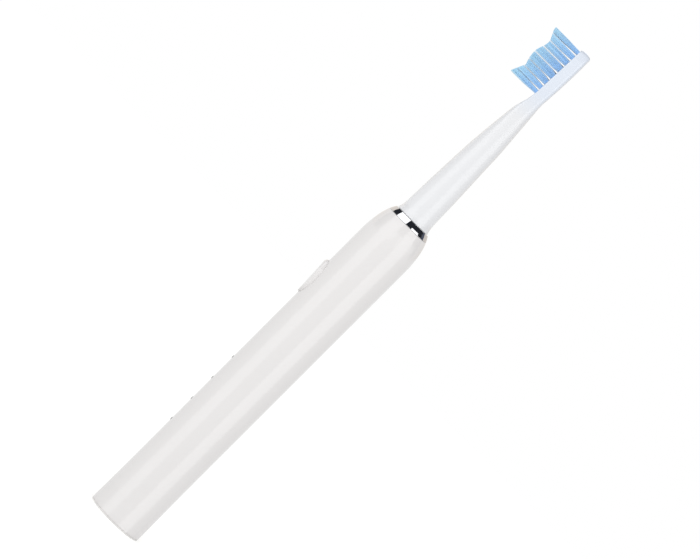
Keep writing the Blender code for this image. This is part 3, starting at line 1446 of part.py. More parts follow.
def build_motor(finish, body):
    """Fixed parts of the motor and its rubber mounts."""
    dress(make_motor_frame(), finish["frame_steel"], body)
    end_cap = make_motor_plate("motor_end_cap", END_CAP_BOTTOM, END_CAP_THICKNESS)
    dress(end_cap, finish["bobbin_plastic"], body)
    dress(make_rear_plate(), finish["bobbin_plastic"], body)
    front = make_motor_plate("front_bush_plate", FRONT_PLATE_BOTTOM, PLATE_THICKNESS)
    dress(make_bush_seat(front, FRONT_PLATE_BOTTOM), finish["frame_steel"], body)
    dress(make_bush("front_bush", FRONT_PLATE_BOTTOM), finish["sintered_bronze"], body)
    dress(make_bush("rear_bush", REAR_PLATE_BOTTOM), finish["sintered_bronze"], body)
    dress(make_stator_core(), finish["core_steel"], body)
    dress(make_motor_reel(), finish["bobbin_plastic"], body)
    dress(make_motor_winding(), finish["copper_winding"], body)
    rear = make_damper("rear_damper", FRAME_BOTTOM + REAR_DAMPER_RISE)
    dress(rear, finish["seal_rubber"], body)
    front_ring = make_damper("front_damper", FRAME_TOP - FRONT_DAMPER_DROP)
    dress(front_ring, finish["seal_rubber"], body)


def build_rotor(finish, body):
    """Shaft, yoke, magnets and clip, which swing together."""
    dress(make_drive_shaft(), finish["shaft_steel"], body)
    yoke = tube("rotor_yoke", YOKE_BORE, YOKE_RADIUS, ROTOR_LENGTH, at=(0, 0, ROTOR_BOTTOM))
    dress(yoke, finish["core_steel"], body)
    for index in range(MAGNET_COUNT):
        dress(make_magnet(index), finish["magnet_nickel"], body)
    dress(make_retaining_clip(), finish["shaft_steel"], body)


def build_head(finish, body):
    """Everything that comes off with the brush head."""
    dress(make_head_body(), finish["head_plastic"], body)
    dress(make_bristles(), finish["bristle_nylon"], body)
    dress(make_head_sleeve(), finish["sleeve_plastic"], body)
    dress(make_head_clip(), finish["shaft_steel"], body)


def main():
    """Build the whole toothbrush."""
    clear_scene()
    finish = make_materials()
    handle = make_body("handle_body")
    rotor = make_body("drive_axis", (0, 0, SHAFT_BOTTOM))
    head = make_body("head_seat", (0, 0, HEAD_BOTTOM))
    button = make_body("button_guide", (0, 0, BUTTON_CENTRE))
    plunger = make_body("plunger_guide", (0, PLUNGER_BACK, BUTTON_CENTRE))
    build_handle(finish, handle)
    build_power(finish, handle)
    build_motor(finish, handle)
    build_rotor(finish, rotor)
    build_head(finish, head)
    dress(make_button_cap(), finish["handle_plastic"], button)
    dress(make_switch_plunger(), finish["switch_plastic"], plunger)


main()
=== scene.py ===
"""Sonic electric toothbrush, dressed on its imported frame.

The frame gives the body of every piece. This script models the outer pieces again,
smooth and with their fine edges, gives every piece a procedural material and sets a
plain pale studio with the camera at the photograph's viewing angle.
"""

from __future__ import annotations

import json
import logging
import math
from dataclasses import dataclass, field
from enum import Enum

import bmesh
import bpy
import numpy as np
from mathutils import Matrix, Vector

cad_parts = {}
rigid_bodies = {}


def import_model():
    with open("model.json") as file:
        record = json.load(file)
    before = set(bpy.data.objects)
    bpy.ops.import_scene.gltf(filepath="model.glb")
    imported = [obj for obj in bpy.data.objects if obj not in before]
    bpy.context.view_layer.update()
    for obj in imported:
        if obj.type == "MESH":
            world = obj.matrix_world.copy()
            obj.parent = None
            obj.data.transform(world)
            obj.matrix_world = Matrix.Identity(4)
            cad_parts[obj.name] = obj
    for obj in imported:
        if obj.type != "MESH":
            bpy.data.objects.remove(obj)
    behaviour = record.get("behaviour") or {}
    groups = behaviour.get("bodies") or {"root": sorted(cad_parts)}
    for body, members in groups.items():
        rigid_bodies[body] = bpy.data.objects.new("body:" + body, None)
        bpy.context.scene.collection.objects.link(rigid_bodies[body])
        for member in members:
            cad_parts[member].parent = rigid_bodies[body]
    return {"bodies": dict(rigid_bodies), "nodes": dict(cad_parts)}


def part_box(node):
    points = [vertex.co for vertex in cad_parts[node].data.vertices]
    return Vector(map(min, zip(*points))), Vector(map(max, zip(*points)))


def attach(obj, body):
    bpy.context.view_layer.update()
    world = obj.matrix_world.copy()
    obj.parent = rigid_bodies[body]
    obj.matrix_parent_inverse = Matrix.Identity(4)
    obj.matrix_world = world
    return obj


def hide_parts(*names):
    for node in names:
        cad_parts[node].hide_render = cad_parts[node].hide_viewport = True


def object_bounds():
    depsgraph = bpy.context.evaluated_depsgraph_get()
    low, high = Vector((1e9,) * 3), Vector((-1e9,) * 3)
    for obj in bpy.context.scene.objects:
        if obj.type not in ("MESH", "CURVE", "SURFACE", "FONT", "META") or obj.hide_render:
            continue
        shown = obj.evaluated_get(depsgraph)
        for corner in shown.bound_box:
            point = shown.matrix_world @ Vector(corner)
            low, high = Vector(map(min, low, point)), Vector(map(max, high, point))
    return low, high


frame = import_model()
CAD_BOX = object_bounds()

LOG = logging.getLogger("toothbrush")
MM = 0.001
WELD = 0.002 * MM
# Largest angles in degrees between faces that still shade as one surface
FORMED, CUT, STRAND = 35.0, 30.0, 75.0
# Numbers of the Mix node's two colour inputs and of its colour output
FROM, TO, MIXED = 6, 7, 2
# Phase of the wave texture for each unit of length at scale 1
WAVE_RATE = 20
# Faces across and up a studio card, enough to bend it to a sphere
CARD_FACES = (12, 6)

Piece = bpy.types.Object
Tree = bpy.types.NodeTree
Socket = bpy.types.NodeSocket
Inputs = dict[str | int, object]
Links = dict[str | int, Socket]
Profile = list[tuple[float, float]]
Corners = list[tuple[float, float, float]]
Ring = list[Vector]


class Body(Enum):
    """Bodies of the frame that a new piece can ride on."""

    HANDLE = "handle"
    ROTOR = "rotor"
    HEAD = "head"
    BUTTON = "button"


class Slot(Enum):
    """The record's material slots that new pieces take their finish from."""

    HANDLE_PLASTIC = "handle_plastic"
    HEAD_PLASTIC = "head_plastic"
    CHROME_PLATE = "chrome_plate"
    BRISTLE_NYLON = "bristle_nylon"
    LIGHT_GUIDE = "light_guide"
    SHAFT_STEEL = "shaft_steel"


class Axis(Enum):
    """Direction in which a piece is turned, or in which a finish's lines are stacked."""

    X = "X"
    Y = "Y"
    Z = "Z"


# Modelling


def deselect_all() -> None:
    """Leave edit mode, if it is on, and deselect every object."""
    if bpy.context.object and bpy.context.object.mode != "OBJECT":
        bpy.ops.object.mode_set(mode="OBJECT")
    bpy.ops.object.select_all(action="DESELECT")


def activate(piece: Piece) -> None:
    """Make one object the only selected and the active one.

    Args:
        piece: The object.
    """
    deselect_all()
    piece.select_set(True)
    bpy.context.view_layer.objects.active = piece


def start_piece(name: str) -> Piece:
    """Name the primitive that was just added, settle its place and open it for editing.

    Args:
        name: Name for the new piece.

    Returns:
        The new piece at the origin, in edit mode.
    """
    piece = bpy.context.object
    piece.name = piece.data.name = name
    bpy.ops.object.transform_apply(location=True, rotation=True, scale=True)
    bpy.ops.object.mode_set(mode="EDIT")
    return piece


def close_up(piece: Piece, angle: float = FORMED, weld: bool = True) -> Piece:
    """Turn all faces of a closed piece outward and shade it smooth up to an angle.

    Args:
        piece: The piece.
        angle: Largest angle in degrees that is shaded smooth.
        weld: Whether doubled points are merged first.

    Returns:
        The same piece.
    """
    activate(piece)
    bpy.ops.object.mode_set(mode="EDIT")
    bpy.ops.mesh.select_all(action="SELECT")
    if weld:
        bpy.ops.mesh.remove_doubles(threshold=WELD)
    bpy.ops.mesh.normals_make_consistent(inside=False)
    bpy.ops.object.mode_set(mode="OBJECT")
    bpy.ops.object.shade_smooth_by_angle(angle=math.radians(angle))
    return piece


def soften(corners: Corners, steps: int = 5) -> Profile:
    """Round the corners of a closed outline.

    Args:
        corners: Rows of radius, height and how far before and after it the corner is rounded.
        steps: Edges on each rounding.

    Returns:
        The outline's points.
    """
    points: Profile = []
    for index, (radius, height, setback) in enumerate(corners):
        corner = Vector((radius, height))
        if not setback:
            points.append((radius, height))
            continue
        before = Vector(corners[index - 1][:2]) - corner
        after = Vector(corners[(index + 1) % len(corners)][:2]) - corner
        first = corner + before.normalized() * setback
        last = corner + after.normalized() * setback
        for step in range(steps + 1):
            share = step / steps
            bent = first.lerp(corner, share).lerp(corner.lerp(last, share), share)
            points.append((bent.x, bent.y))
    return points


def spin_profile(
    name: str,
    profile: Profile,
    steps: int,
    centre: Vector = Vector((0, 0, 0)),
    axis: Axis = Axis.Z,
) -> Piece:
    """Draw an outline by extruding a vertex from point to point, then spin it.

    Args:
        name: Name for the new piece.
        profile: Points as radius and distance along the axis, in order round the outline.
        steps: Faces round the piece.
        centre: A point on the axis of turning.
        axis: Z, or Y for a piece that points forward.

    Returns:
        The closed piece.
    """
    along = Vector((0, 0, 1)) if axis is Axis.Z else Vector((0, -1, 0))
    spots = [centre + Vector((radius, 0, 0)) + along * rise for radius, rise in profile]
    deselect_all()
    bpy.ops.mesh.primitive_plane_add(size=MM, location=spots[0])
    piece = start_piece(name)
    bpy.ops.mesh.merge(type="CENTER")
    for here, there in zip(spots, spots[1:]):
        bpy.ops.mesh.extrude_region_move(TRANSFORM_OT_translate={"value": there - here})
    if profile[0][0] or profile[-1][0]:
        mesh = bmesh.from_edit_mesh(piece.data)
        for vertex in mesh.verts:
            if len(vertex.link_edges) == 1:
                vertex.select_set(True)
        bpy.ops.mesh.edge_face_add()
    bpy.ops.mesh.select_all(action="SELECT")
    bpy.ops.mesh.spin(steps=steps, angle=math.tau, center=centre, axis=along)
    return close_up(piece)


def loft_rings(name: str, rings: list[Ring]) -> Piece:
    """Extrude a disc from ring to ring and give it each ring's section on the way.

    Args:
        name: Name for the new piece.
        rings: Rings with equal numbers of points, from one closed end to the other.

    Returns:
        The closed piece.
    """
    deselect_all()
    bpy.ops.mesh.primitive_circle_add(vertices=len(rings[0]), radius=MM, fill_type="NGON")
    piece = start_piece(name)
    mesh = bmesh.from_edit_mesh(piece.data)
    place = mesh.verts.layers.int.new("place")
    for index, vertex in enumerate(mesh.verts):
        vertex[place] = index
    for number, ring in enumerate(rings):
        if number:
            bpy.ops.mesh.extrude_region_move()
        mesh = bmesh.from_edit_mesh(piece.data)
        place = mesh.verts.layers.int["place"]
        for vertex in mesh.verts:
            if vertex.select:
                vertex.co = ring[vertex[place]]
        bmesh.update_edit_mesh(piece.data)
    close_up(piece)
    piece.data.attributes.remove(piece.data.attributes["place"])
    return piece


def drill_bits(spots: list[tuple[Vector, float]], depth: float, sides: int) -> Piece:
    """Make one cutter for round holes that are drilled from the front.

    Args:
        spots: The middle and the radius of each bit.
        depth: Length of the bits.
        sides: Faces round a bit.

    Returns:
        The joined bits, for a Boolean cut.
    """
    deselect_all()
    bits = []
    for spot, radius in spots:
        bpy.ops.mesh.primitive_cylinder_add(
            vertices=sides, radius=radius, depth=depth, location=spot, rotation=(math.pi / 2, 0, 0)
        )
        bits.append(bpy.context.object)
    for bit in bits:
        bit.select_set(True)
    bpy.ops.object.join()
    return bpy.context.object


def cut_away(piece: Piece, *cutters: Piece) -> Piece:
    """Cut closed shapes out of a piece and delete them.

    Args:
        piece: The piece to cut.
        cutters: Closed pieces, which are used up.

    Returns:
        The same piece, shaded again.
    """
    for cutter in cutters:
        modifier = piece.modifiers.new("cut", "BOOLEAN")
        modifier.operation = "DIFFERENCE"
        modifier.solver = "EXACT"
        modifier.object = cutter
        activate(piece)
        bpy.ops.object.modifier_apply(modifier=modifier.name)
        bpy.data.objects.remove(cutter)
    bpy.ops.object.shade_smooth_by_angle(angle=math.radians(CUT))
    return piece


def copies_along(piece: Piece, step: Vector, names: list[str]) -> list[Piece]:
    """Copy a finished piece at equal steps, each copy with its own mesh.

    Args:
        piece: The first piece.
        step: Distance from each copy to the next.
        names: Names of the copies.

    Returns:
        The first piece and its copies.
    """
    made = [piece]
    for name in names:
        activate(made[-1])
        bpy.ops.object.duplicate(linked=False)
        twin = start_piece(name)
        bpy.ops.mesh.select_all(action="SELECT")
        bpy.ops.transform.translate(value=step)
        bpy.ops.object.mode_set(mode="OBJECT")
        made.append(twin)
    return made


def hand_over(piece: Piece, finish: Finish, body: Body, node: str) -> Piece:
    """Dress a finished piece and put it on its body in place of its CAD node.

    Args:
        piece: The finished piece.
        finish: Its finish.
        body: The body that it rides on.
        node: The CAD node that it replaces.

    Returns:
        The same piece.
    """
    piece.data.materials.clear()
    piece.data.materials.append(finish.material())
    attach(piece, body.value)
    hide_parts(node)
    LOG.info("%s: %d faces on %s", piece.name, len(piece.data.polygons), body.value)
    return piece


# Finishes


def linear(hexadecimal: str, share: float = 1.0) -> tuple[float, ...]:
    """Turn a sRGB hex colour into linear values.

    Args:
        hexadecimal: Six digits, without a hash sign.
        share: How much of its brightness is kept.

    Returns:
        Red, green, blue and an alpha of one.
    """
    made = []
    for start in (0, 2, 4):
        value = int(hexadecimal[start : start + 2], 16) / 255
        value = value / 12.92 if value <= 0.04045 else ((value + 0.055) / 1.055) ** 2.4
        made.append(value * share)
    return (*made, 1.0)


def pitch_scale(pitch: float) -> float:
    """Wave texture scale at which its bands repeat once in a real pitch in metres."""
    return math.tau / (WAVE_RATE * pitch)


def empty_tree(owner: bpy.types.Material | bpy.types.World) -> Tree:
    """Switch the nodes of a material or of the world on and empty their tree.

    Args:
        owner: The material or the world.

    Returns:
        Its empty tree.
    """
    owner.use_nodes = True
    owner.node_tree.nodes.clear()
    return owner.node_tree


def add_node(
    tree: Tree, kind: str, settings: Inputs | None = None, links: Links | None = None
) -> bpy.types.Node:
    """Add a node with its settings and links.

    Args:
        tree: The node tree.
        kind: The node's type.
        settings: Values by input name, input number or property name.
        links: Sockets to link, by input name or number.

    Returns:
        The new node.
    """
    node = tree.nodes.new(kind)
    for key, value in (settings or {}).items():
        if isinstance(key, int) or key in node.inputs:
            node.inputs[key].default_value = value
        else:
            setattr(node, key, value)
    for key, socket in (links or {}).items():
        tree.links.new(socket, node.inputs[key])
    return node


@dataclass(frozen=True)
class Finish:
    """A material and how its surface was made; every finish starts from this one.

    The tone drifts slowly over the surface and the gloss with it, as thickness and
    handling leave it, and a fine grain bends the light. Metals keep the IOR given here,
    which is the shader's own.
    """

    name: str
    colour: str
    roughness: float
    metallic: float = 0.0
    tone_spread: float = 0.03
    tone_size: float = 14 * MM
    tone_detail: float = 3.0
    gloss_spread: float = 0.04
    least_roughness: float = 0.02
    grain_size: float = 0.5 * MM
    grain_depth: float = 0.004 * MM
    grain_strength: float = 0.5
    fine_detail: float = 2.0
    subsurface: float = 0.0
    subsurface_depth: float = 0.4 * MM
    ior: float = 1.5

    def material(self) -> bpy.types.Material:
        """Make this finish's material, or find it if it was made before.

        Returns:
            The material.
        """
        made = bpy.data.materials.get(self.name)
        if made is None:
            made = bpy.data.materials.new(self.name)
            self.wire(empty_tree(made))
        return made

    def wire(self, tree: Tree) -> None:
        """Wire colour, gloss and grain to the shader, whose other values are even.

        Args:
            tree: The material's node tree.
        """
        place = add_node(tree, "ShaderNodeTexCoord").outputs["Object"]
        even = {
            "Metallic": self.metallic,
            "IOR": self.ior,
            "Subsurface Weight": self.subsurface,
            "Subsurface Radius": (1.0, 1.0, 1.0),
            "Subsurface Scale": self.subsurface_depth,
        }
        varied = {
            "Base Color": self.pattern(tree, place),
            "Roughness": self.gloss(tree, place),
            "Normal": self.grain(tree, place),
        }
        shader = add_node(tree, "ShaderNodeBsdfPrincipled", even, varied)
        add_node(tree, "ShaderNodeOutputMaterial", links={"Surface": shader.outputs["BSDF"]})

    def pattern(self, tree: Tree, place: Socket) -> Socket:
        """Let the finish's own colour drift a little darker in soft patches.

        Args:
            tree: The material's node tree.
            place: The piece's own coordinates.

        Returns:
            The colour.
        """
        soft = {"Scale": 1 / self.tone_size, "Detail": self.tone_detail}
        drift = add_node(tree, "ShaderNodeTexNoise", soft, {"Vector": place})
        dark = linear(self.colour, 1 - self.tone_spread)
        colours = {"data_type": "RGBA", FROM: linear(self.colour), TO: dark}
        return add_node(tree, "ShaderNodeMix", colours, {0: drift.outputs["Fac"]}).outputs[MIXED]

    def gloss(self, tree: Tree, place: Socket) -> Socket:
        """Let the roughness drift round its middle value.

        Args:
            tree: The material's node tree.
            place: The piece's own coordinates.

        Returns:
            The roughness.
        """
        soft = {"Scale": 2 / self.tone_size, "Detail": self.fine_detail}
        drift = add_node(tree, "ShaderNodeTexNoise", soft, {"Vector": place})
        low = max(self.roughness - self.gloss_spread, self.least_roughness)
        ends = {"To Min": low, "To Max": self.roughness + self.gloss_spread}
        spread = add_node(tree, "ShaderNodeMapRange", ends, {"Value": drift.outputs["Fac"]})
        return spread.outputs["Result"]

    def grain(self, tree: Tree, place: Socket) -> Socket:
        """Bend the normal by the finish's fine grain.

        Args:
            tree: The material's node tree.
            place: The piece's own coordinates.

        Returns:
            The normal.
        """
        fine = {"Scale": 1 / self.grain_size, "Detail": self.fine_detail}
        noise = add_node(tree, "ShaderNodeTexNoise", fine, {"Vector": place})
        depth = {"Distance": self.grain_depth, "Strength": self.grain_strength}
        bump = add_node(tree, "ShaderNodeBump", depth, {"Height": noise.outputs["Fac"]})
        return bump.outputs["Normal"]


@dataclass(frozen=True)
class MaskedFinish(Finish):
    """A finish that gives way to another colour where its mask falls to zero."""

    other_colour: str = "808080"

    def mask(self, tree: Tree, place: Socket) -> Socket:
        """Return the share of the finish's own colour, which each kind works out its way."""
        raise NotImplementedError

    def pattern(self, tree: Tree, place: Socket) -> Socket:
        """Lay the finish's own drifting colour over the other one by the mask.

        Args:
            tree: The material's node tree.
            place: The piece's own coordinates.

        Returns:
            The colour.
        """
        shares = {0: self.mask(tree, place), TO: super().pattern(tree, place)}
        other = {"data_type": "RGBA", FROM: linear(self.other_colour)}
        return add_node(tree, "ShaderNodeMix", other, shares).outputs[MIXED]


@dataclass(frozen=True)
class LinedFinish(MaskedFinish):
    """A surface with even parallel lines: turns of wire, laminations or grinding marks."""

    line_pitch: float = 0.25 * MM
    line_axis: Axis = Axis.Z
    line_depth: float = 0.06 * MM
    line_strength: float = 0.6
    line_waver: float = 0.4

    def mask(self, tree: Tree, place: Socket) -> Socket:
        """Draw a wave that rises from a groove and falls to the next once in each pitch.

        Args:
            tree: The material's node tree.
            place: The piece's own coordinates.

        Returns:
            The wave, zero in the grooves.
        """
        wave = {
            "bands_direction": self.line_axis.value,
            "Scale": pitch_scale(self.line_pitch),
            "Distortion": self.line_waver,
            "Detail Scale": 1.0,
        }
        return add_node(tree, "ShaderNodeTexWave", wave, {"Vector": place}).outputs["Fac"]

    def grain(self, tree: Tree, place: Socket) -> Socket:
        """Bend the normal by the lines instead of by a grain.

        Args:
            tree: The material's node tree.
            place: The piece's own coordinates.

        Returns:
            The normal.
        """
        depth = {"Distance": self.line_depth, "Strength": self.line_strength}
        lines = {"Height": self.mask(tree, place)}
        return add_node(tree, "ShaderNodeBump", depth, lines).outputs["Normal"]


@dataclass(frozen=True)
class SpeckledFinish(MaskedFinish):
    """A surface of small cells: pressed powder, glass-filled nylon or copper tracks."""

    speck_size: float = 0.3 * MM
    speck_limit: float = 0.12

    def mask(self, tree: Tree, place: Socket) -> Socket:
        """Draw cells with the specks where they meet.

        Args:
            tree: The material's node tree.
            place: The piece's own coordinates.

        Returns:
            One inside the cells, falling to zero on their edges.
        """
        cell = {"feature": "DISTANCE_TO_EDGE", "Scale": 1 / self.speck_size}
        edge = add_node(tree, "ShaderNodeTexVoronoi", cell, {"Vector": place}).outputs["Distance"]
        limit = {"From Max": self.speck_limit}
        return add_node(tree, "ShaderNodeMapRange", limit, {"Value": edge}).outputs["Result"]


@dataclass(frozen=True)
class SleevedFinish(MaskedFinish):
    """A printed shrink sleeve that leaves the bare steel ends of a cell showing."""

    low_end: float = 0.0
    high_end: float = 1.0

    def mask(self, tree: Tree, place: Socket) -> Socket:
        """Find whether a place lies between the sleeve's two ends.

        Args:
            tree: The material's node tree.
            place: The piece's own coordinates.

        Returns:
            One there and zero beyond them.
        """
        height = add_node(tree, "ShaderNodeSeparateXYZ", links={"Vector": place}).outputs["Z"]
        middle, half = (self.low_end + self.high_end) / 2, (self.high_end - self.low_end) / 2
        near = {"operation": "COMPARE", 1: middle, 2: half}
        return add_node(tree, "ShaderNodeMath", near, {0: height}).outputs[0]


@dataclass(frozen=True)
class FadingFinish(MaskedFinish):
    """A moulding whose colour fades along its height into a painted tint of the light that a
    coloured part nearby casts on it.
    """

    low_end: float = 0.0
    high_end: float = 1.0

    def mask(self, tree: Tree, place: Socket) -> Socket:
        """Fade from the lower height to the upper one.

        Args:
            tree: The material's node tree.
            place: The piece's own coordinates.

        Returns:
            One below the lower height and zero above the upper one.
        """
        height = add_node(tree, "ShaderNodeSeparateXYZ", links={"Vector": place}).outputs["Z"]
        ends = {"From Min": self.high_end, "From Max": self.low_end}
        return add_node(tree, "ShaderNodeMapRange", ends, {"Value": height}).outputs["Result"]


@dataclass(frozen=True)
class FilamentFinish(Finish):
    """Drawn nylon filament: painted shade makes it deeper towards its root, and each strand is pale
    to its own degree, more so at a row's edge as painted light.
    """

    # Painted shade: the deeper blue towards the root, where the tuft shades its own strands
    root_shade_colour: str = "9ECEFF"
    # Colour that a strand's tone mixes towards; it carries the strand's own paleness and the
    # painted light at a row's edge
    pale_colour: str = "DCEEFC"

    def pattern(self, tree: Tree, place: Socket) -> Socket:
        """Colour by two values of the mesh: reach along a strand, which gives painted shade at its
        root, and the strand's tone, which also holds painted light at a row's edge.

        Args:
            tree: The material's node tree.
            place: The piece's own coordinates, which this colour doesn't need.

        Returns:
            The colour.
        """
        reach, tone = (
            add_node(tree, "ShaderNodeAttribute", {"attribute_name": name}).outputs["Fac"]
            for name in ("reach", "tone")
        )
        ends = {"data_type": "RGBA", FROM: linear(self.root_shade_colour), TO: linear(self.colour)}
        shaded_to_root = add_node(tree, "ShaderNodeMix", ends, {0: reach}).outputs[MIXED]
        pale = {"data_type": "RGBA", TO: linear(self.pale_colour)}
        return add_node(tree, "ShaderNodeMix", pale, {0: tone, FROM: shaded_to_root}).outputs[MIXED]


# ABS moulded in a polished tool: warm white, a soft shine and hardly any grain
HANDLE_ABS = Finish(
    "moulded_abs_warm_white", "EFEDED", 0.13, tone_spread=0.02, grain_size=0.9 * MM, ior=1.49
)
# The same resin moulded by a finer gate, so the foot reads a trace duller than the tube
FOOT_ABS = Finish("moulded_abs_foot", "EDEBEA", 0.26)
# Polypropylene: cooler than the handle and a little translucent; over the plate its colour fades to
# pale blue, painted light from the blue bristles
HEAD_POLYPROPYLENE = FadingFinish(
    "moulded_polypropylene_cool_white",
    "F0F1F4",
    0.18,
    tone_spread=0.015,
    grain_size=0.9 * MM,
    subsurface=0.06,
    # Painted light: the pale blue that the bristles cast on the plate
    other_colour="E7EEFA",
    low_end=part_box("bristles")[0].z - 10 * MM,
    high_end=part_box("bristles")[0].z + 2 * MM,
)
# Decorative chrome on ABS: a mirror with a faint unevenness of the plating
NECK_CHROME = Finish(
    "bright_chrome_plate", "D6D7D9", 0.05, 1.0, gloss_spread=0.02, grain_depth=0.001 * MM
)
# Drawn and crimped nylon 6.12 filament, dyed light blue through its whole thickness
BRISTLE_NYLON = FilamentFinish("drawn_nylon_filament", "BFEAFF", 0.4, gloss_spread=0.05)
# Smoked polycarbonate pins with satin ends, so an unlit light reads dark
SMOKED_GUIDE = Finish("smoked_polycarbonate", "2C2E30", 0.36, tone_spread=0.1, ior=1.58)
# Centreless-ground stainless steel; its rings are drawn 0.12 mm apart so that they show
GROUND_STEEL = LinedFinish(
    "ground_stainless_steel",
    "B9BBBE",
    0.2,
    1.0,
    other_colour="9A9CA0",
    line_pitch=0.12 * MM,
    line_depth=0.003 * MM,
)
# Moulded nitrile rubber: nearly black and dull, with a talc bloom
NITRILE_RUBBER = Finish(
    "moulded_nitrile_rubber", "3A3B3E", 0.72, tone_spread=0.3, tone_size=2 * MM
)
# Natural ABS of hidden structural parts: pale grey, matt from its spark-eroded tool
CHASSIS_ABS = Finish("spark_textured_abs", "C9CCCE", 0.55, tone_spread=0.06, grain_size=0.25 * MM)
# Glass-filled nylon: black with grey fibre ends at the surface
GLASS_NYLON = SpeckledFinish(
    "glass_filled_nylon", "29292B", 0.5, other_colour="4C4D50", speck_size=0.4 * MM
)
# Enamelled wire wound in layers, 0.25 mm from turn to turn, with painted shade in the grooves
# between turns
COPPER_TURNS = LinedFinish("enamelled_copper_turns", "B96A38", 0.32, 1.0, other_colour="6E3A1E")
# PVC shrink sleeve over a steel can; the can's ends stay bare
CELL_SLEEVE = SleevedFinish(
    "pvc_shrink_sleeve",
    "2F63A8",
    0.34,
    tone_spread=0.08,
    other_colour="B8B9BB",
    low_end=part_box("battery_cell")[0].z + 0.4 * MM,
    high_end=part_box("battery_cell")[1].z - 1.2 * MM,
)
# Rolled nickel strip: a warm grey sheen with faint rolling lines
NICKEL_STRIP = LinedFinish(
    "rolled_nickel_strip",
    "BDB9B0",
    0.3,
    1.0,
    other_colour="A29E96",
    line_pitch=0.2 * MM,
    line_axis=Axis.X,
    line_depth=0.004 * MM,
)
# Glass-epoxy laminate under green solder mask, paler over its tracks, 1.6 mm apart
BOARD_LAMINATE = SpeckledFinish(
    "solder_masked_laminate",
    "1C6A3B",
    0.4,
    other_colour="2F8A55",
    speck_size=1.6 * MM,
    speck_limit=0.08,
)
# Transfer-moulded epoxy of chip packages: black, fine and dry
CHIP_EPOXY = Finish("transfer_moulded_epoxy", "242527", 0.55, tone_spread=0.2, tone_size=MM)
# White light packages with the yellow cast of their phosphor
LED_PACKAGE = SpeckledFinish(
    "phosphor_filled_package", "F2EFE0", 0.35, other_colour="E6D67C", speck_size=1.1 * MM
)
# Stamped low-carbon steel, zinc-plated, with rolling marks along the channel
STAMPED_STEEL = LinedFinish(
    "zinc_plated_stamping",
    "94979A",
    0.36,
    1.0,
    other_colour="7F8285",
    line_pitch=0.5 * MM,
    line_axis=Axis.X,
    line_depth=0.004 * MM,
)
# Stack of 0.35 mm silicon-steel laminations with dark insulation between them
LAMINATED_CORE = LinedFinish(
    "laminated_silicon_steel",
    "7C7E81",
    0.45,
    1.0,
    other_colour="3C3D40",
    line_pitch=0.35 * MM,
    line_axis=Axis.Y,
    line_depth=0.03 * MM,
)
# Sintered magnet under barrel-plated nickel: bright, with a slightly patchy tone
PLATED_MAGNET = Finish(
    "nickel_plated_magnet", "A6A8AB", 0.25, 1.0, tone_spread=0.1, tone_size=2 * MM
)
# Oil-soaked sintered bronze: brown gold, speckled dark by its open pores
SINTERED_BRONZE = SpeckledFinish(
    "sintered_bronze", "A07E48", 0.45, 1.0, other_colour="5A4526", speck_size=0.25 * MM
)
# Moulded PBT of the switch housing and plunger: black with a dull sheen
SWITCH_PBT = Finish("moulded_pbt", "2D2E30", 0.45, tone_spread=0.15, tone_size=2 * MM)
# Natural acetal of the head's sleeve: milky, waxy and slick
SLEEVE_ACETAL = Finish("natural_acetal", "E2E3E4", 0.4, tone_spread=0.05, subsurface=0.2)

# CAD nodes that keep their shape, by finish
KEPT_NODES: dict[Finish, str] = {
    NITRILE_RUBBER: "shaft_seal cap_seal rear_damper front_damper",
    GLASS_NYLON: "charging_bobbin motor_bobbin motor_end_cap rear_bush_plate",
    COPPER_TURNS: "charging_coil motor_winding",
    CHASSIS_ABS: "chassis",
    CELL_SLEEVE: "battery_cell",
    NICKEL_STRIP: "lower_battery_tab upper_battery_tab",
    BOARD_LAMINATE: "circuit_board",
    STAMPED_STEEL: "lower_board_screw upper_board_screw motor_frame front_bush_plate rotor_yoke",
    CHIP_EPOXY: "motor_controller charge_controller power_inductor",
    LED_PACKAGE: "charge_led_1 charge_led_2 charge_led_3 charge_led_4",
    SWITCH_PBT: "switch_housing switch_plunger",
    LAMINATED_CORE: "stator_core",
    SINTERED_BRONZE: "front_bush rear_bush",
    PLATED_MAGNET: "rotor_magnet_1 rotor_magnet_2 rotor_magnet_3 rotor_magnet_4",
    GROUND_STEEL: "retaining_clip head_clip",
    SLEEVE_ACETAL: "head_sleeve",
}


# Pieces of the toothbrush


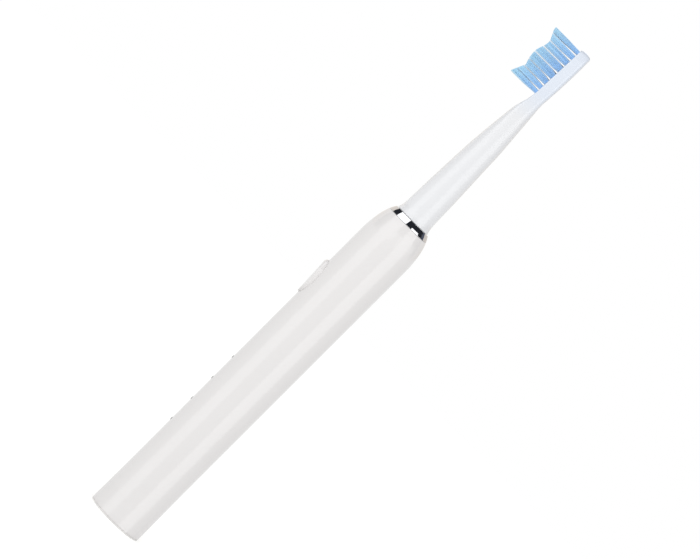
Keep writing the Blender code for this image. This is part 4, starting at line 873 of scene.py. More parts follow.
@dataclass
class Handle:
    """Moulded outer tube with its shoulder, spigot and seal tower.

    Sizes are those of the shell in the frame; the edges are rounded here.
    """

    radius: float = 11.5 * MM
    bore: float = 9.9 * MM
    flare: float = 0.215 * MM
    flare_height: float = 30 * MM
    flare_power: float = 1.5
    flare_step: float = 2 * MM
    rim_bottom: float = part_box("handle_shell")[0].z - 0.25 * MM
    rim_edge: float = 0.06 * MM
    shoulder_start: float = 141 * MM
    shoulder_rise: float = 17 * MM
    shoulder_drop: float = 6 * MM
    shoulder_steps: int = 27
    land_height: float = 13 * MM
    land_edge: float = 0.16 * MM
    roof_height: float = 11.2 * MM
    roof_steps: int = 12
    spigot_radius: float = 6.6 * MM
    spigot_top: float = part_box("handle_shell")[1].z
    seal_bore: float = 4.5 * MM
    tower_radius: float = 6.1 * MM
    tower_drop: float = 4.8 * MM
    shelf_bore: float = 3.2 * MM
    shelf: float = 1.6 * MM
    steps: int = 192
    light_nodes: tuple[str, ...] = tuple(f"light_guide_{number}" for number in (1, 2, 3, 4))
    light_hole: float = 0.8 * MM
    light_hole_sides: int = 32
    drill_depth: float = 4 * MM

    def surface(self, height: float) -> float:
        """Work out the outer radius: of the flare, the straight tube or the elliptic shoulder.

        Args:
            height: Height above the foot.

        Returns:
            The radius there.
        """
        if height < self.flare_height:
            return self.radius + self.flare * (1 - height / self.flare_height) ** self.flare_power
        rise = max(height - self.shoulder_start, 0) / self.shoulder_rise
        return self.radius - self.shoulder_drop * (1 - math.sqrt(1 - rise**2))

    def outside(self, heights: np.ndarray, wall: float = 0.0) -> Corners:
        """Return sharp corners on the outer surface, or a wall's thickness inside it."""
        return [(self.surface(height) - wall, float(height), 0) for height in heights]

    def profile(self) -> Profile:
        """Draw the shell's whole section, from the rim up the outside and down inside.

        Returns:
            The outline's points.
        """
        land_top = self.shoulder_start + self.land_height
        tower_foot = land_top - self.tower_drop
        roof = self.shoulder_start + self.roof_height
        flared = np.arange(self.flare_step, self.flare_height, self.flare_step)
        rounded = np.linspace(self.shoulder_start, land_top, self.shoulder_steps)[1:-1]
        corners: Corners = [
            (self.surface(self.rim_bottom), self.rim_bottom, self.rim_edge),
            *self.outside(flared),
            (self.radius, self.shoulder_start, 0),
            *self.outside(rounded),
            (self.surface(land_top), land_top, self.land_edge),
            (self.spigot_radius, land_top, 0),
            (self.spigot_radius, self.spigot_top, self.land_edge),
            (self.seal_bore, self.spigot_top, self.land_edge),
            (self.seal_bore, tower_foot + self.shelf, 0),
            (self.shelf_bore, tower_foot + self.shelf, 0),
            (self.shelf_bore, tower_foot, 0),
            (self.tower_radius, tower_foot, 0),
            (self.tower_radius, roof, 0),
            *self.outside(
                np.linspace(roof, self.shoulder_start, self.roof_steps), self.radius - self.bore
            ),
            (self.bore, self.rim_bottom, 0),
        ]
        return soften(corners)

    def light_heights(self) -> list[float]:
        """Return the heights of the charge lights, from the frame."""
        boxes = [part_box(node) for node in self.light_nodes]
        return [(low.z + high.z) / 2 for low, high in boxes]

    def build(self, button: PowerButton) -> Piece:
        """Turn the shell and open it for the button and the lights.

        Args:
            button: The button, which gives the opening's outline.

        Returns:
            The shell.
        """
        shell = spin_profile("handle_tube", self.profile(), self.steps)
        spots = [(Vector((0, -self.radius, z)), self.light_hole) for z in self.light_heights()]
        bits = drill_bits(spots, self.drill_depth, self.light_hole_sides)
        cut_away(shell, button.opening(self), bits)
        return hand_over(shell, HANDLE_ABS, Body.HANDLE, "handle_shell")


@dataclass
class NeckRing:
    """Chrome ring between the handle's shoulder and the brush head."""

    bottom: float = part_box("neck_ring")[0].z
    top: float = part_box("neck_ring")[1].z
    seat_drop: float = 0.22 * MM
    bore: float = 6.9 * MM
    lip: float = 0.5 * MM
    lip_bore: float = 3.4 * MM
    edge: float = 0.12 * MM
    side_steps: int = 12
    steps: int = 192

    def build(self, handle: Handle) -> Piece:
        """Turn the ring so that its outside carries on the handle's shoulder.

        Args:
            handle: The handle, whose surface the ring follows.

        Returns:
            The ring.
        """
        bottom = self.bottom - self.seat_drop
        corners: Corners = [
            (self.bore, bottom, 0),
            (handle.surface(bottom), bottom, self.edge),
            *handle.outside(np.linspace(bottom, self.top, self.side_steps)[1:-1]),
            (handle.surface(self.top), self.top, self.edge),
            (self.lip_bore, self.top, self.edge),
            (self.lip_bore, self.top - self.lip, 0),
            (self.bore, self.top - self.lip, 0),
        ]
        ring = spin_profile("chrome_neck_ring", soften(corners), self.steps)
        return hand_over(ring, NECK_CHROME, Body.HANDLE, "neck_ring")


@dataclass
class FootCap:
    """Sealed bottom cap with its flat foot, charging socket and plug."""

    radius: float = 11.69 * MM
    edge: float = 0.12 * MM
    lip: float = 0.55 * MM
    plug_radius: float = 9.6 * MM
    plug_height: float = 7 * MM
    plug_wall: float = 2.2 * MM
    floor: float = 1.6 * MM
    groove_bottom: float = 3.4 * MM
    groove_height: float = 1.7 * MM
    groove_depth: float = 1.3 * MM
    socket_radius: float = 4 * MM
    socket_depth: float = 14 * MM
    socket_wall: float = 1 * MM
    recess_radius: float = 9.4 * MM
    recess_rim: float = 5.4 * MM
    recess_depth: float = 0.3 * MM
    steps: int = 192

    def build(self) -> Piece:
        """Turn the cap; a shallow recess between two rings keeps the foot off the table.

        Returns:
            The cap.
        """
        groove_top = self.groove_bottom + self.groove_height
        groove_radius = self.plug_radius - self.groove_depth
        plug_bore = self.plug_radius - self.plug_wall
        socket_outside = self.socket_radius + self.socket_wall
        top = self.socket_depth + self.socket_wall
        corners: Corners = [
            (self.socket_radius, 0, self.edge),
            (self.recess_rim, 0, self.recess_depth / 2),
            (self.recess_rim, self.recess_depth, 0),
            (self.recess_radius, self.recess_depth, 0),
            (self.recess_radius, 0, self.recess_depth / 2),
            (self.radius, 0, self.edge),
            (self.radius, self.lip, self.edge / 2),
            (self.plug_radius, self.lip, 0),
            (self.plug_radius, self.groove_bottom, 0),
            (groove_radius, self.groove_bottom, 0),
            (groove_radius, groove_top, 0),
            (self.plug_radius, groove_top, 0),
            (self.plug_radius, self.plug_height, self.edge),
            (plug_bore, self.plug_height, self.edge),
            (plug_bore, self.floor, 0),
            (socket_outside, self.floor, 0),
            (socket_outside, top, self.edge),
            (0, top, 0),
            (0, self.socket_depth, 0),
            (self.socket_radius, self.socket_depth, self.edge),
        ]
        profile = soften(corners)
        turn = profile.index((0, top)) + 1
        cap = spin_profile("foot_cap", profile[turn:] + profile[:turn], self.steps)
        return hand_over(cap, FOOT_ABS, Body.HANDLE, "bottom_cap")


@dataclass
class PowerButton:
    """Wedge-shaped power button, kept behind the wall by its curved flange."""

    centre: float = 116.4 * MM
    half_length: float = 8.1 * MM
    half_width: float = 5.4 * MM
    exponent: float = 2.5
    handle_radius: float = 11.5 * MM
    proud_low: float = 0.62 * MM
    proud_high: float = 1.32 * MM
    crown: float = 0.55 * MM
    edge_low: float = 0.3 * MM
    edge_high: float = 1.6 * MM
    edge_power: int = 4
    edge_steps: int = 9
    face_shares: tuple[float, ...] = (0.94, 0.86, 0.76, 0.64, 0.5, 0.36, 0.22, 0.1)
    gap: float = 0.2 * MM
    gap_chamfer: float = 0.06 * MM
    chamfer_past: float = 0.25
    cut_from: float = 0.643
    cut_past: float = 2 * MM
    flange_radius: float = 9.6 * MM
    flange: float = 0.6 * MM
    flange_lap: float = 1.1 * MM
    flange_steps: int = 9
    boss_radius: float = 1.3 * MM
    boss_end: float = 8.65 * MM
    points: int = 128

    def outline(self, margin: float = 0.0) -> Profile:
        """Draw a rounded long oval round the button's face.

        Args:
            margin: How far outside the face's own outline it lies.

        Returns:
            Points as x and height from the middle, anticlockwise from +X.
        """
        made = []
        for index in range(self.points):
            angle = math.tau * index / self.points
            turn = Vector((math.cos(angle), math.sin(angle)))
            across, along = (math.copysign(abs(v) ** (2 / self.exponent), v) for v in turn)
            made.append(((self.half_width + margin) * across, (self.half_length + margin) * along))
        return made

    def height_share(self, rise: float) -> float:
        """Return how far up the face a place lies, from 0 to 1."""
        return (rise + self.half_length) / (2 * self.half_length)

    def front(self, x: float, rise: float) -> float:
        """Return how far forward of the axis the face lies at a place on it."""
        proud = self.proud_low + (self.proud_high - self.proud_low) * self.height_share(rise)
        return self.handle_radius + proud - self.crown * (x / self.half_width) ** 2

    def on_tube(self, spots: Profile, radius: float) -> Ring:
        """Return places on the face, laid on a tube round the axis."""
        return [Vector((x, -math.sqrt(radius**2 - x**2), self.centre + z)) for x, z in spots]

    def face_rings(self) -> list[Ring]:
        """Shape the pad from its side up round the edge to its middle.

        Returns:
            The rings.
        """
        rings: list[Ring] = []
        for step in range(self.edge_steps + 1):
            turn = math.pi / 2 * step / self.edge_steps
            ring: Ring = []
            for x, rise in self.outline():
                growth = self.height_share(rise) ** self.edge_power
                edge = self.edge_low + (self.edge_high - self.edge_low) * growth
                shrink = 1 - edge * (1 - math.cos(turn)) / math.hypot(x, rise)
                depth = self.front(x * shrink, rise * shrink) - edge * (1 - math.sin(turn))
                ring.append(Vector((x * shrink, -depth, self.centre + rise * shrink)))
            rings.append(ring)
        last = [(point.x, point.z - self.centre) for point in rings[-1]]
        for share in self.face_shares:
            spots = [(x * share, z * share) for x, z in last]
            rings.append([Vector((x, -self.front(x, z), self.centre + z)) for x, z in spots])
        return rings

    def flange_rings(self, boss: Profile) -> list[Ring]:
        """Shape the flange's inner side so that it keeps the tube's curve.

        Args:
            boss: Points round the boss, as x and height from the button's middle.

        Returns:
            The rings, from the boss out to the flange's edge.
        """
        pairs = list(zip(boss, self.outline(self.flange_lap)))
        rings = []
        for share in np.linspace(0, 1, self.flange_steps):
            spots = [(a + (p - a) * share, b + (q - b) * share) for (a, b), (p, q) in pairs]
            rings.append(self.on_tube(spots, self.flange_radius - self.flange))
        return rings

    def build(self) -> Piece:
        """Loft the boss, the flange, the side and the face as one closed piece.

        Returns:
            The button.
        """
        boss = [
            (self.boss_radius * math.cos(angle), self.boss_radius * math.sin(angle))
            for angle in np.linspace(0, math.tau, self.points, endpoint=False)
        ]
        rings = [
            [Vector((x, -self.boss_end, self.centre + rise)) for x, rise in boss],
            *self.flange_rings(boss),
            self.on_tube(self.outline(self.flange_lap), self.flange_radius),
            self.on_tube(self.outline(), self.flange_radius),
            *self.face_rings(),
        ]
        cap = loft_rings("power_button", rings)
        return hand_over(cap, HANDLE_ABS, Body.BUTTON, "button_cap")

    def opening(self, handle: Handle) -> Piece:
        """Make the cutter for the opening, whose outer edge is slightly chamfered.

        Args:
            handle: The handle that is cut.

        Returns:
            A closed piece for a Boolean cut.
        """
        radius = handle.radius
        narrow = self.outline(self.gap)
        wide = self.outline(self.gap + self.gap_chamfer)
        rings = [
            [Vector((x, -handle.bore * self.cut_from, self.centre + z)) for x, z in narrow],
            self.on_tube(narrow, radius - self.gap_chamfer),
            self.on_tube(wide, radius + self.gap_chamfer * self.chamfer_past),
            [Vector((x, -radius - self.cut_past, self.centre + z)) for x, z in wide],
        ]
        return loft_rings("button_opening", rings)


@dataclass
class ChargeLights:
    """Four light guides whose domed ends stand a little proud of the wall."""

    radius: float = 0.7 * MM
    inner_end: float = 7.7 * MM
    flange_start: float = 9.1 * MM
    flange_end: float = 9.6 * MM
    flange_radius: float = 1.3 * MM
    outer_end: float = 11.68 * MM
    dome: float = 0.17 * MM
    dome_steps: int = 6
    steps: int = 40

    def build(self, handle: Handle) -> list[Piece]:
        """Turn one guide and copy it to the other places.

        Args:
            handle: The handle, which gives the places.

        Returns:
            The four guides.
        """
        profile: Profile = [
            (0, self.inner_end),
            (self.radius, self.inner_end),
            (self.radius, self.flange_start),
            (self.flange_radius, self.flange_start),
            (self.flange_radius, self.flange_end),
            (self.radius, self.flange_end),
        ]
        for step in range(self.dome_steps):
            angle = math.pi / 2 * step / self.dome_steps
            reach = self.outer_end - self.dome * (1 - math.sin(angle))
            profile.append((self.radius * math.cos(angle), reach))
        profile.append((0, self.outer_end))
        first, second, *_ = handle.light_heights()
        spot = Vector((0, 0, first))
        guide = spin_profile("charge_light_1", profile, self.steps, spot, Axis.Y)
        names = [f"charge_light_{number}" for number in (2, 3, 4)]
        guides = copies_along(guide, Vector((0, 0, second - first)), names)
        for guide, node in zip(guides, handle.light_nodes):
            hand_over(guide, SMOKED_GUIDE, Body.HANDLE, node)
        return guides


@dataclass
class DriveShaft:
    """Ground steel shaft with its clip groove and the flat that drives the head."""

    bottom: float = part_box("drive_shaft")[0].z
    top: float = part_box("drive_shaft")[1].z
    radius: float = 2 * MM
    edge: float = 0.3 * MM
    groove_radius: float = 1.5 * MM
    groove_bottom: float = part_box("retaining_clip")[0].z - 0.3 * MM
    groove_height: float = 1.2 * MM
    flat_face: float = 1.2 * MM
    flat_length: float = 17 * MM
    steps: int = 64

    def build(self) -> Piece:
        """Turn the shaft and mill its flat.

        Returns:
            The shaft.
        """
        groove_top = self.groove_bottom + self.groove_height
        corners: Corners = [
            (0, self.bottom, 0),
            (self.radius, self.bottom, self.edge),
            (self.radius, self.groove_bottom, 0),
            (self.groove_radius, self.groove_bottom, 0),
            (self.groove_radius, groove_top, 0),
            (self.radius, groove_top, 0),
            (self.radius, self.top, self.edge),
            (0, self.top, 0),
        ]
        shaft = spin_profile("steel_drive_shaft", soften(corners), self.steps)
        deselect_all()
        beyond = (0, -self.flat_face - self.flat_length, self.top)
        bpy.ops.mesh.primitive_cube_add(size=2 * self.flat_length, location=beyond)
        cut_away(shaft, bpy.context.object)
        return hand_over(shaft, GROUND_STEEL, Body.ROTOR, "drive_shaft")


@dataclass
class BrushHead:
    """Hollow stem that flattens into the brush plate.

    The stations give height, front, back, half-width and squareness as shares of the
    length, of the radius and of one, as measured on the real head. The spans give the
    share of the length at which each one ends, and the sections in it.
    """

    bottom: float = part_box("head_body")[0].z
    top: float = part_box("head_body")[1].z
    radius: float = 7.5 * MM
    bore: float = 4.6 * MM
    bore_depth: float = 27 * MM
    rim_edge: float = 0.25 * MM
    rim_drop: float = 0.2 * MM
    rim_steps: int = 5
    points: int = 128
    spans: tuple[tuple[float, int], ...] = ((0.06, 14), (0.6, 26), (0.938, 34))
    tip_back_edge: float = 0.85 * MM
    tip_front_edge: float = 0.3 * MM
    tip_crown: float = 0.35 * MM
    crown_power: int = 4
    tip_exponent: float = 2.6
    tip_flat: float = 0.34
    tip_front: float = 0.052
    tip_back: float = 0.598
    tip_steps: int = 19
    tip_crowding: float = 1.7
    top_shares: tuple[float, ...] = (0.75, 0.5, 0.25)
    front_square: float = 12.0
    back_square: float = 1.6
    stations: tuple[tuple[float, ...], ...] = (
        (0.000, 1.000, 1.000, 1.000, 0.00),
        (0.011, 0.955, 0.955, 0.955, 0.00),
        (0.026, 0.920, 0.920, 0.920, 0.00),
        (0.048, 0.904, 0.904, 0.904, 0.00),
        (0.176, 0.856, 0.856, 0.856, 0.00),
        (0.276, 0.809, 0.809, 0.809, 0.00),
        (0.375, 0.757, 0.760, 0.758, 0.00),
        (0.430, 0.710, 0.740, 0.730, 0.00),
        (0.493, 0.644, 0.689, 0.690, 0.03),
        (0.559, 0.563, 0.627, 0.645, 0.08),
        (0.626, 0.475, 0.563, 0.613, 0.18),
        (0.659, 0.385, 0.528, 0.613, 0.32),
        (0.692, 0.271, 0.495, 0.633, 0.55),
        (0.725, 0.199, 0.488, 0.672, 0.80),
        (0.759, 0.170, 0.515, 0.715, 0.95),
        (0.805, 0.145, 0.550, 0.753, 1.00),
        (0.872, 0.112, 0.584, 0.765, 1.00),
        (0.938, 0.082, 0.602, 0.760, 1.00),
    )

    def section(self, share: float) -> list[float]:
        """Find the section between the stations, on a Hermite curve through them.

        Args:
            share: Height as a share of the head's length.

        Returns:
            Front, back, half-width and squareness.
        """
        rows = self.stations
        last = len(rows) - 2
        index = min(max(sum(row[0] <= share for row in rows) - 1, 0), last)
        low, high = rows[index], rows[index + 1]
        before, after = rows[max(index - 1, 0)], rows[min(index + 2, last + 1)]
        width = high[0] - low[0]
        t = (share - low[0]) / width
        made = []
        for column in range(1, 5):
            out = (high[column] - before[column]) / (high[0] - before[0]) * width
            into = (after[column] - low[column]) / (after[0] - low[0]) * width
            made.append(
                (2 * t**3 - 3 * t**2 + 1) * low[column]
                + (t**3 - 2 * t**2 + t) * out
                + (3 * t**2 - 2 * t**3) * high[column]
                + (t**3 - t**2) * into
            )
        return made

    def ring(self, height: float, sizes: list[float], square: float, crown: float = 0.0) -> Ring:
        """Draw one section: round on the stem, nearly square-fronted on the plate.

        Args:
            height: Height of its highest point.
            sizes: Its reach forward and back of the axis, and half of its width.
            square: From 0, an ellipse, to 1, the plate's section.
            crown: How far its front and back edges lie below the middle.

        Returns:
            Its points.
        """
        front, back, width = sizes
        middle, depth = (back - front) / 2, (back + front) / 2
        made: Ring = []
        for angle in np.linspace(0, math.tau, self.points, endpoint=False):
            facing = self.back_square if math.sin(angle) > 0 else self.front_square
            power = 2 / (2 + facing * max(square, 0))
            x = width * math.copysign(abs(math.cos(angle)) ** power, math.cos(angle))
            lean = math.copysign(abs(math.sin(angle)) ** power, math.sin(angle))
            made.append(Vector((x, middle + depth * lean, height - crown * lean**2)))
        return made

    def round_ring(self, radius: float, height: float) -> Ring:
        """Return a plain round ring."""
        return self.ring(height, [radius, radius, radius], 0)

    def rings(self) -> list[Ring]:
        """Draw every section from inside the bore, round the rim and up to the tip.

        Returns:
            The rings.
        """
        length = self.top - self.bottom
        rim = self.bottom - self.rim_drop
        made = [
            self.round_ring(self.bore, self.bottom + self.bore_depth),
            self.round_ring(self.bore, rim + self.rim_edge),
            self.round_ring(self.bore + self.rim_edge, rim),
        ]
        for angle in np.linspace(0, math.pi / 2, self.rim_steps):
            radius = self.radius - self.rim_edge * (1 - math.sin(angle))
            made.append(self.round_ring(radius, rim + self.rim_edge * (1 - math.cos(angle))))
        start = self.rim_edge / length
        for end, count in self.spans:
            for share in np.linspace(start, end, count)[1:]:
                *shares, square = self.section(share)
                sizes = [self.radius * value for value in shares]
                made.append(self.ring(self.bottom + share * length, sizes, square))
            start = end
        return made + self.tip_rings(length)

    def tip_rings(self, length: float) -> list[Ring]:
        """Round off the plate's end and close its top.

        Args:
            length: The head's length.

        Returns:
            The rings.
        """
        start, last_front, last_back, last_width, _ = self.stations[-1]
        made: list[Ring] = []
        for step in np.linspace(0, 1, self.tip_steps)[1:]:
            share = 1 - (1 - float(step)) ** self.tip_crowding
            height = self.bottom + length * (start + (1 - start) * share)
            below = self.top - height
            front = self.radius * (last_front + (self.tip_front - last_front) * share)
            back = self.radius * (last_back + (self.tip_back - last_back) * share)
            front -= self.rounding(below, self.tip_front_edge)
            back -= self.rounding(below, self.tip_back_edge)
            width = self.radius * last_width * max(self.rounded(share), self.tip_flat)
            crown = self.tip_crown * share**self.crown_power
            made.append(self.ring(height, [front, back, width], 1, crown))
        edge = made[-1]
        middle = sum(edge, Vector()) / len(edge)
        middle.z = self.top
        for share in self.top_shares:
            made.append([middle.lerp(point, share) for point in edge])
            for flat, point in zip(made[-1], edge):
                flat.z = self.top - (self.top - point.z) * share**2
        return made

    def rounded(self, share: float) -> float:
        """Return the share of the width that is left at a share of the way to the tip."""
        return (1 - share**self.tip_exponent) ** (1 / self.tip_exponent)

    def rounding(self, below: float, edge: float) -> float:
        """Return how far an edge of that radius draws in at a distance below the top."""
        short = max(edge - below, 0)
        return edge - math.sqrt(edge**2 - short**2)

    def plate_front(self, height: float) -> float:
        """Find how far forward of the axis the plate's front lies.

        Args:
            height: Height above the foot.

        Returns:
            The distance.
        """
        first, last = self.stations[-3], self.stations[-1]
        share = (height - self.bottom) / (self.top - self.bottom)
        slope = (last[1] - first[1]) / (last[0] - first[0])
        return self.radius * (last[1] + slope * (share - last[0]))

    def half_width(self, height: float) -> float:
        """Find half of the plate's width, with its rounded end.

        Args:
            height: Height above the foot.

        Returns:
            The half-width.
        """
        share = (height - self.bottom) / (self.top - self.bottom)
        last = self.stations[-1][0]
        width = self.radius * self.section(min(share, last))[2]
        if share > last:
            width *= self.rounded(min((share - last) / (1 - last), 1))
        return width

    def build(self, bristles: BristleField) -> Piece:
        """Loft the head and drill the holes of its tufts.

        Args:
            bristles: The bristle field, which gives the places of the tufts.

        Returns:
            The head.
        """
        head = loft_rings("brush_head", self.rings())
        cut_away(head, bristles.drills(self))
        return hand_over(head, HEAD_POLYPROPYLENE, Body.HEAD, "head_body")


@dataclass
class BristleField:
    """Thirty tufts of fine filament, trimmed to a wave.

    Each tuft leaves its round hole as a tight bundle and opens until it meets its
    neighbours. The closing shares say how far up each gap between two rows closes, and
    the streaks how wide a thin, see-through line is left beyond that.
    """

    bottom: float = 221.32 * MM
    top: float = 244.505 * MM
    row_shares: tuple[float, ...] = (0.055, 0.153, 0.272, 0.415, 0.573, 0.716, 0.843, 0.951)
    row_tufts: tuple[int, ...] = (3, 4, 4, 4, 4, 4, 4, 3)
    closing_shares: tuple[float, ...] = (0.5, 0.5, 0.38, 0.22, 0.14, 0.16, 0.28, 0.52, 0.5)
    streaks_mm: tuple[float, ...] = (0.1, 0.0, 0.26, 0.14, 0.26, 0.28, 0.2, 0.14, 0.1)
    staggers_mm: tuple[float, ...] = (0.0, 0.03, 0.12, 0.26, 0.2, 0.1, 0.04, 0.0)
    tuft_radii_mm: tuple[float, ...] = (0.72, 0.84, 1.0, 1.14, 1.18, 1.1, 0.97, 0.82)
    hole_room: float = 0.07 * MM
    hole_depth: float = 1.1 * MM
    hole_sides: int = 28
    root_depth: float = 0.8
    row_lean: float = -0.037
    edge_room: float = 0.75 * MM
    meet: float = 0.97
    overhang: float = 0.3 * MM
    opening_power: float = 1.5
    strands: int = 136
    strand_radius: float = 0.12 * MM
    strand_tip: float = 0.45
    root_taper: float = 0.35
    strand_sides: int = 4
    strand_rings: tuple[float, ...] = (0.0, 0.25, 0.48, 0.72, 0.985, 1.0)
    trim: tuple[tuple[float, float], ...] = (
        (0.0, 13.7 * MM),
        (0.24, 11.2 * MM),
        (0.48, 12.4 * MM),
        (0.74, 11.05 * MM),
        (1.0, 13.1 * MM),
    )
    limit: float = -CAD_BOX[0].y
    trim_tries: int = 3
    trim_room: float = 0.02 * MM
    point_room: float = 0.01 * MM
    scatter: float = 0.035 * MM
    trim_scatter: float = 0.03 * MM
    tone_scatter: float = 0.16
    # Painted light: extra paleness of the strands at a row's edge, next to the gap between rows
    rim_light_paleness: float = 0.5
    rim_start: float = 0.7
    seed: int = 7

    def tip(self, height: float) -> float:
        """Find how far forward of the axis the field is trimmed.

        Args:
            height: Height above the foot.

        Returns:
            The distance.
        """
        share = min(max((height - self.bottom) / (self.top - self.bottom), 0), 1)
        (_, neck), (first, valley), (hump, crest), (second, dip), (_, end) = self.trim
        if share < first:
            made = neck + (valley - neck) * share / first
        elif share < hump:
            made = crest + (valley - crest) * ((hump - share) / (hump - first)) ** 2
        elif share < second:
            turn = math.pi * (share - hump) / (second - hump)
            made = crest + (dip - crest) * (1 - math.cos(turn)) / 2
        else:
            turn = math.pi * (share - second) / (1 - second)
            made = dip + (end - dip) * (1 - math.cos(turn)) / 2
        return min(made, self.limit - self.trim_room)

    def rows(self) -> list[float]:
        """Return the heights of the rows."""
        return [self.bottom + share * (self.top - self.bottom) for share in self.row_shares]

    def tufts(self, head: BrushHead) -> list[tuple[int, float, float, float]]:
        """Place the tufts.

        Neighbouring tufts of the middle rows stand a little up and down in turn, and the
        rows lean a little across the plate.

        Args:
            head: The head that carries the tufts.

        Returns:
            Each tuft's row, x, height and half of the pitch across.
        """
        made = []
        for row, (height, count) in enumerate(zip(self.rows(), self.row_tufts)):
            side = head.half_width(height) - self.edge_room - MM * self.tuft_radii_mm[row]
            pitch = 2 * side / (count - 1)
            for index in range(count):
                x = -side + index * pitch
                lift = MM * self.staggers_mm[row] * (-1) ** index + self.row_lean * x
                made.append((row, x, height + lift, pitch / 2))
        return made

    def drills(self, head: BrushHead) -> Piece:
        """Make one cutter for the holes of all the tufts.

        Args:
            head: The head that carries the tufts.

        Returns:
            The cutter.
        """
        spots = [
            (Vector((x, -head.plate_front(z), z)), MM * self.tuft_radii_mm[row] + self.hole_room)
            for row, x, z, _ in self.tufts(head)
        ]
        return drill_bits(spots, 2 * self.hole_depth, self.hole_sides)

    def strand(self) -> tuple[np.ndarray, list[tuple[int, ...]]]:
        """Model one filament, a slim cylinder cut into lengths and rounded at its end.

        Returns:
            Its points, as offsets across and share of its length, and its faces.
        """
        deselect_all()
        bpy.ops.mesh.primitive_circle_add(
            vertices=self.strand_sides, radius=self.strand_radius, fill_type="NGON"
        )
        piece = start_piece("strand")
        for low, high in zip(self.strand_rings, self.strand_rings[1:]):
            move = {"value": (0, 0, high - low)}
            bpy.ops.mesh.extrude_region_move(TRANSFORM_OT_translate=move)
        bpy.ops.transform.resize(value=(self.strand_tip, self.strand_tip, 1))
        bpy.ops.object.mode_set(mode="OBJECT")
        points = np.array([vertex.co for vertex in piece.data.vertices])
        faces = [tuple(face.vertices) for face in piece.data.polygons]
        bpy.data.objects.remove(piece)
        return points, faces

    def spread(self) -> tuple[np.ndarray, np.ndarray]:
        """Spread the strands of a tuft on a sunflower spiral.

        Returns:
            Their places in a unit disc, and those places stretched to fill the square
            round it.
        """
        index = np.arange(self.strands)
        radius = np.sqrt((index + 0.5) / self.strands)
        angle = index * math.pi * (3 - math.sqrt(5))
        a, b = radius * np.cos(angle), radius * np.sin(angle)
        root = 2 * math.sqrt(2)
        p = np.sqrt(2 + a**2 - b**2 + root * a) - np.sqrt(2 + a**2 - b**2 - root * a)
        q = np.sqrt(2 - a**2 + b**2 + root * b) - np.sqrt(2 - a**2 + b**2 - root * b)
        return np.stack([a, b], axis=1), np.stack([p, q], axis=1) / 2

    def opened(
        self, base: np.ndarray, end: np.ndarray, share: float | np.ndarray, close: float
    ) -> np.ndarray:
        """Find where a strand is at a share of the full length.

        Args:
            base: Its x and height in the hole.
            end: Its x and height once the tuft has opened.
            share: Share of the full length, which may be below zero inside the hole.
            close: Share at which the tuft has opened fully.

        Returns:
            Its x and height there.
        """
        open_share = 1 - (1 - np.clip(share / close, 0, 1)) ** self.opening_power
        return base + (end - base) * open_share

    def build(self, head: BrushHead) -> Piece:
        """Copy the filament to every place in every tuft and bend each copy.

        Args:
            head: The head that carries the tufts.

        Returns:
            The whole bristle field as one piece.
        """
        rng = np.random.default_rng(self.seed)
        points, faces = self.strand()
        disc, square = self.spread()
        heights = self.rows()
        middles = [(low + high) / 2 for low, high in zip(heights, heights[1:])]
        edges = [self.bottom, *middles, self.top]
        vertices, polygons, tones_and_rim_light, reaches = [], [], [], []
        for row, x, height, half_pitch in self.tufts(head):
            face = head.plate_front(height)
            span = self.trim[0][1] - face
            start = -self.root_depth * self.hole_depth / span
            level = height - self.row_lean * x
            streaks = self.streaks_mm[row : row + 2]
            below, above = (MM * width / 2 + self.strand_radius for width in streaks)
            along_plate = (level - edges[row] - below, edges[row + 1] - level - above)
            inward = self.meet * half_pitch
            outward = min(inward, head.half_width(height) - self.overhang - abs(x))
            for (a, b), (p, q) in zip(disc, square):
                upward = int(q > 0)
                close = self.closing_shares[row + upward]
                across = (outward if x * p > 0 else inward) * p
                base = np.array([x, height]) + MM * self.tuft_radii_mm[row] * np.array([a, b])
                end = np.array([x + across, height + along_plate[upward] * q])
                end += rng.normal(0, self.scatter, 2)
                stop = 1.0
                for _ in range(self.trim_tries):
                    spot = self.opened(base, end, stop, close)
                    stop = (self.tip(spot[1]) - face) / span
                stop += rng.normal(0, self.trim_scatter) / span
                along = start + (stop - start) * points[:, 2]
                spots = self.opened(base, end, along[:, None], close)
                depth = np.minimum(face + along * span, self.limit - self.point_room)
                offset = len(vertices) * len(points)
                thick = 1 - self.root_taper * np.clip(1 - along / close, 0, 1)
                spots = spots + points[:, :2] * thick[:, None]
                vertices.append(np.stack([spots[:, 0], -depth, spots[:, 1]], axis=1))
                polygons += [tuple(offset + corner for corner in polygon) for polygon in faces]
                # Strands near a row's edge are painted paler, as painted light through the gap; the
                # rest of the paleness is each strand's own
                rim = max(abs(q) - self.rim_start, 0) / (1 - self.rim_start)
                paleness = rng.uniform(0, self.tone_scatter) + self.rim_light_paleness * rim
                tones_and_rim_light.append(np.full(len(points), paleness))
                reaches.append(np.clip(along, 0, 1))
        mesh = bpy.data.meshes.new("bristle_field")
        mesh.from_pydata(np.concatenate(vertices).tolist(), [], polygons)
        for name, values in (("tone", tones_and_rim_light), ("reach", reaches)):
            layer = mesh.attributes.new(name, "FLOAT", "POINT")
            layer.data.foreach_set("value", np.concatenate(values).astype(np.float32))
        piece = bpy.data.objects.new("bristle_field", mesh)
        bpy.context.scene.collection.objects.link(piece)
        close_up(piece, STRAND, weld=False)
        return hand_over(piece, BRISTLE_NYLON, Body.HEAD, "bristles")


@dataclass
class InnerParts:
    """CAD nodes that keep their shape and only get their finish."""

    nodes: dict[Finish, str]

    def dress(self) -> None:
        """Give each kept CAD node its finish."""
        for finish, names in self.nodes.items():
            for name in names.split():
                materials = frame["nodes"][name].data.materials
                materials.clear()
                materials.append(finish.material())
            LOG.info("%s: %s", finish.name, names)


# Studio


def heading(azimuth: float, elevation: float) -> Vector:
    """Turn two angles into a direction.

    Args:
        azimuth: Degrees from the camera's side (+X) towards the bristle side (-Y).
        elevation: Degrees above the horizon.

    Returns:
        A unit vector.
    """
    turn, rise = math.radians(azimuth), math.radians(elevation)
    level = math.cos(rise)
    return Vector((math.cos(turn) * level, -math.sin(turn) * level, math.sin(rise)))


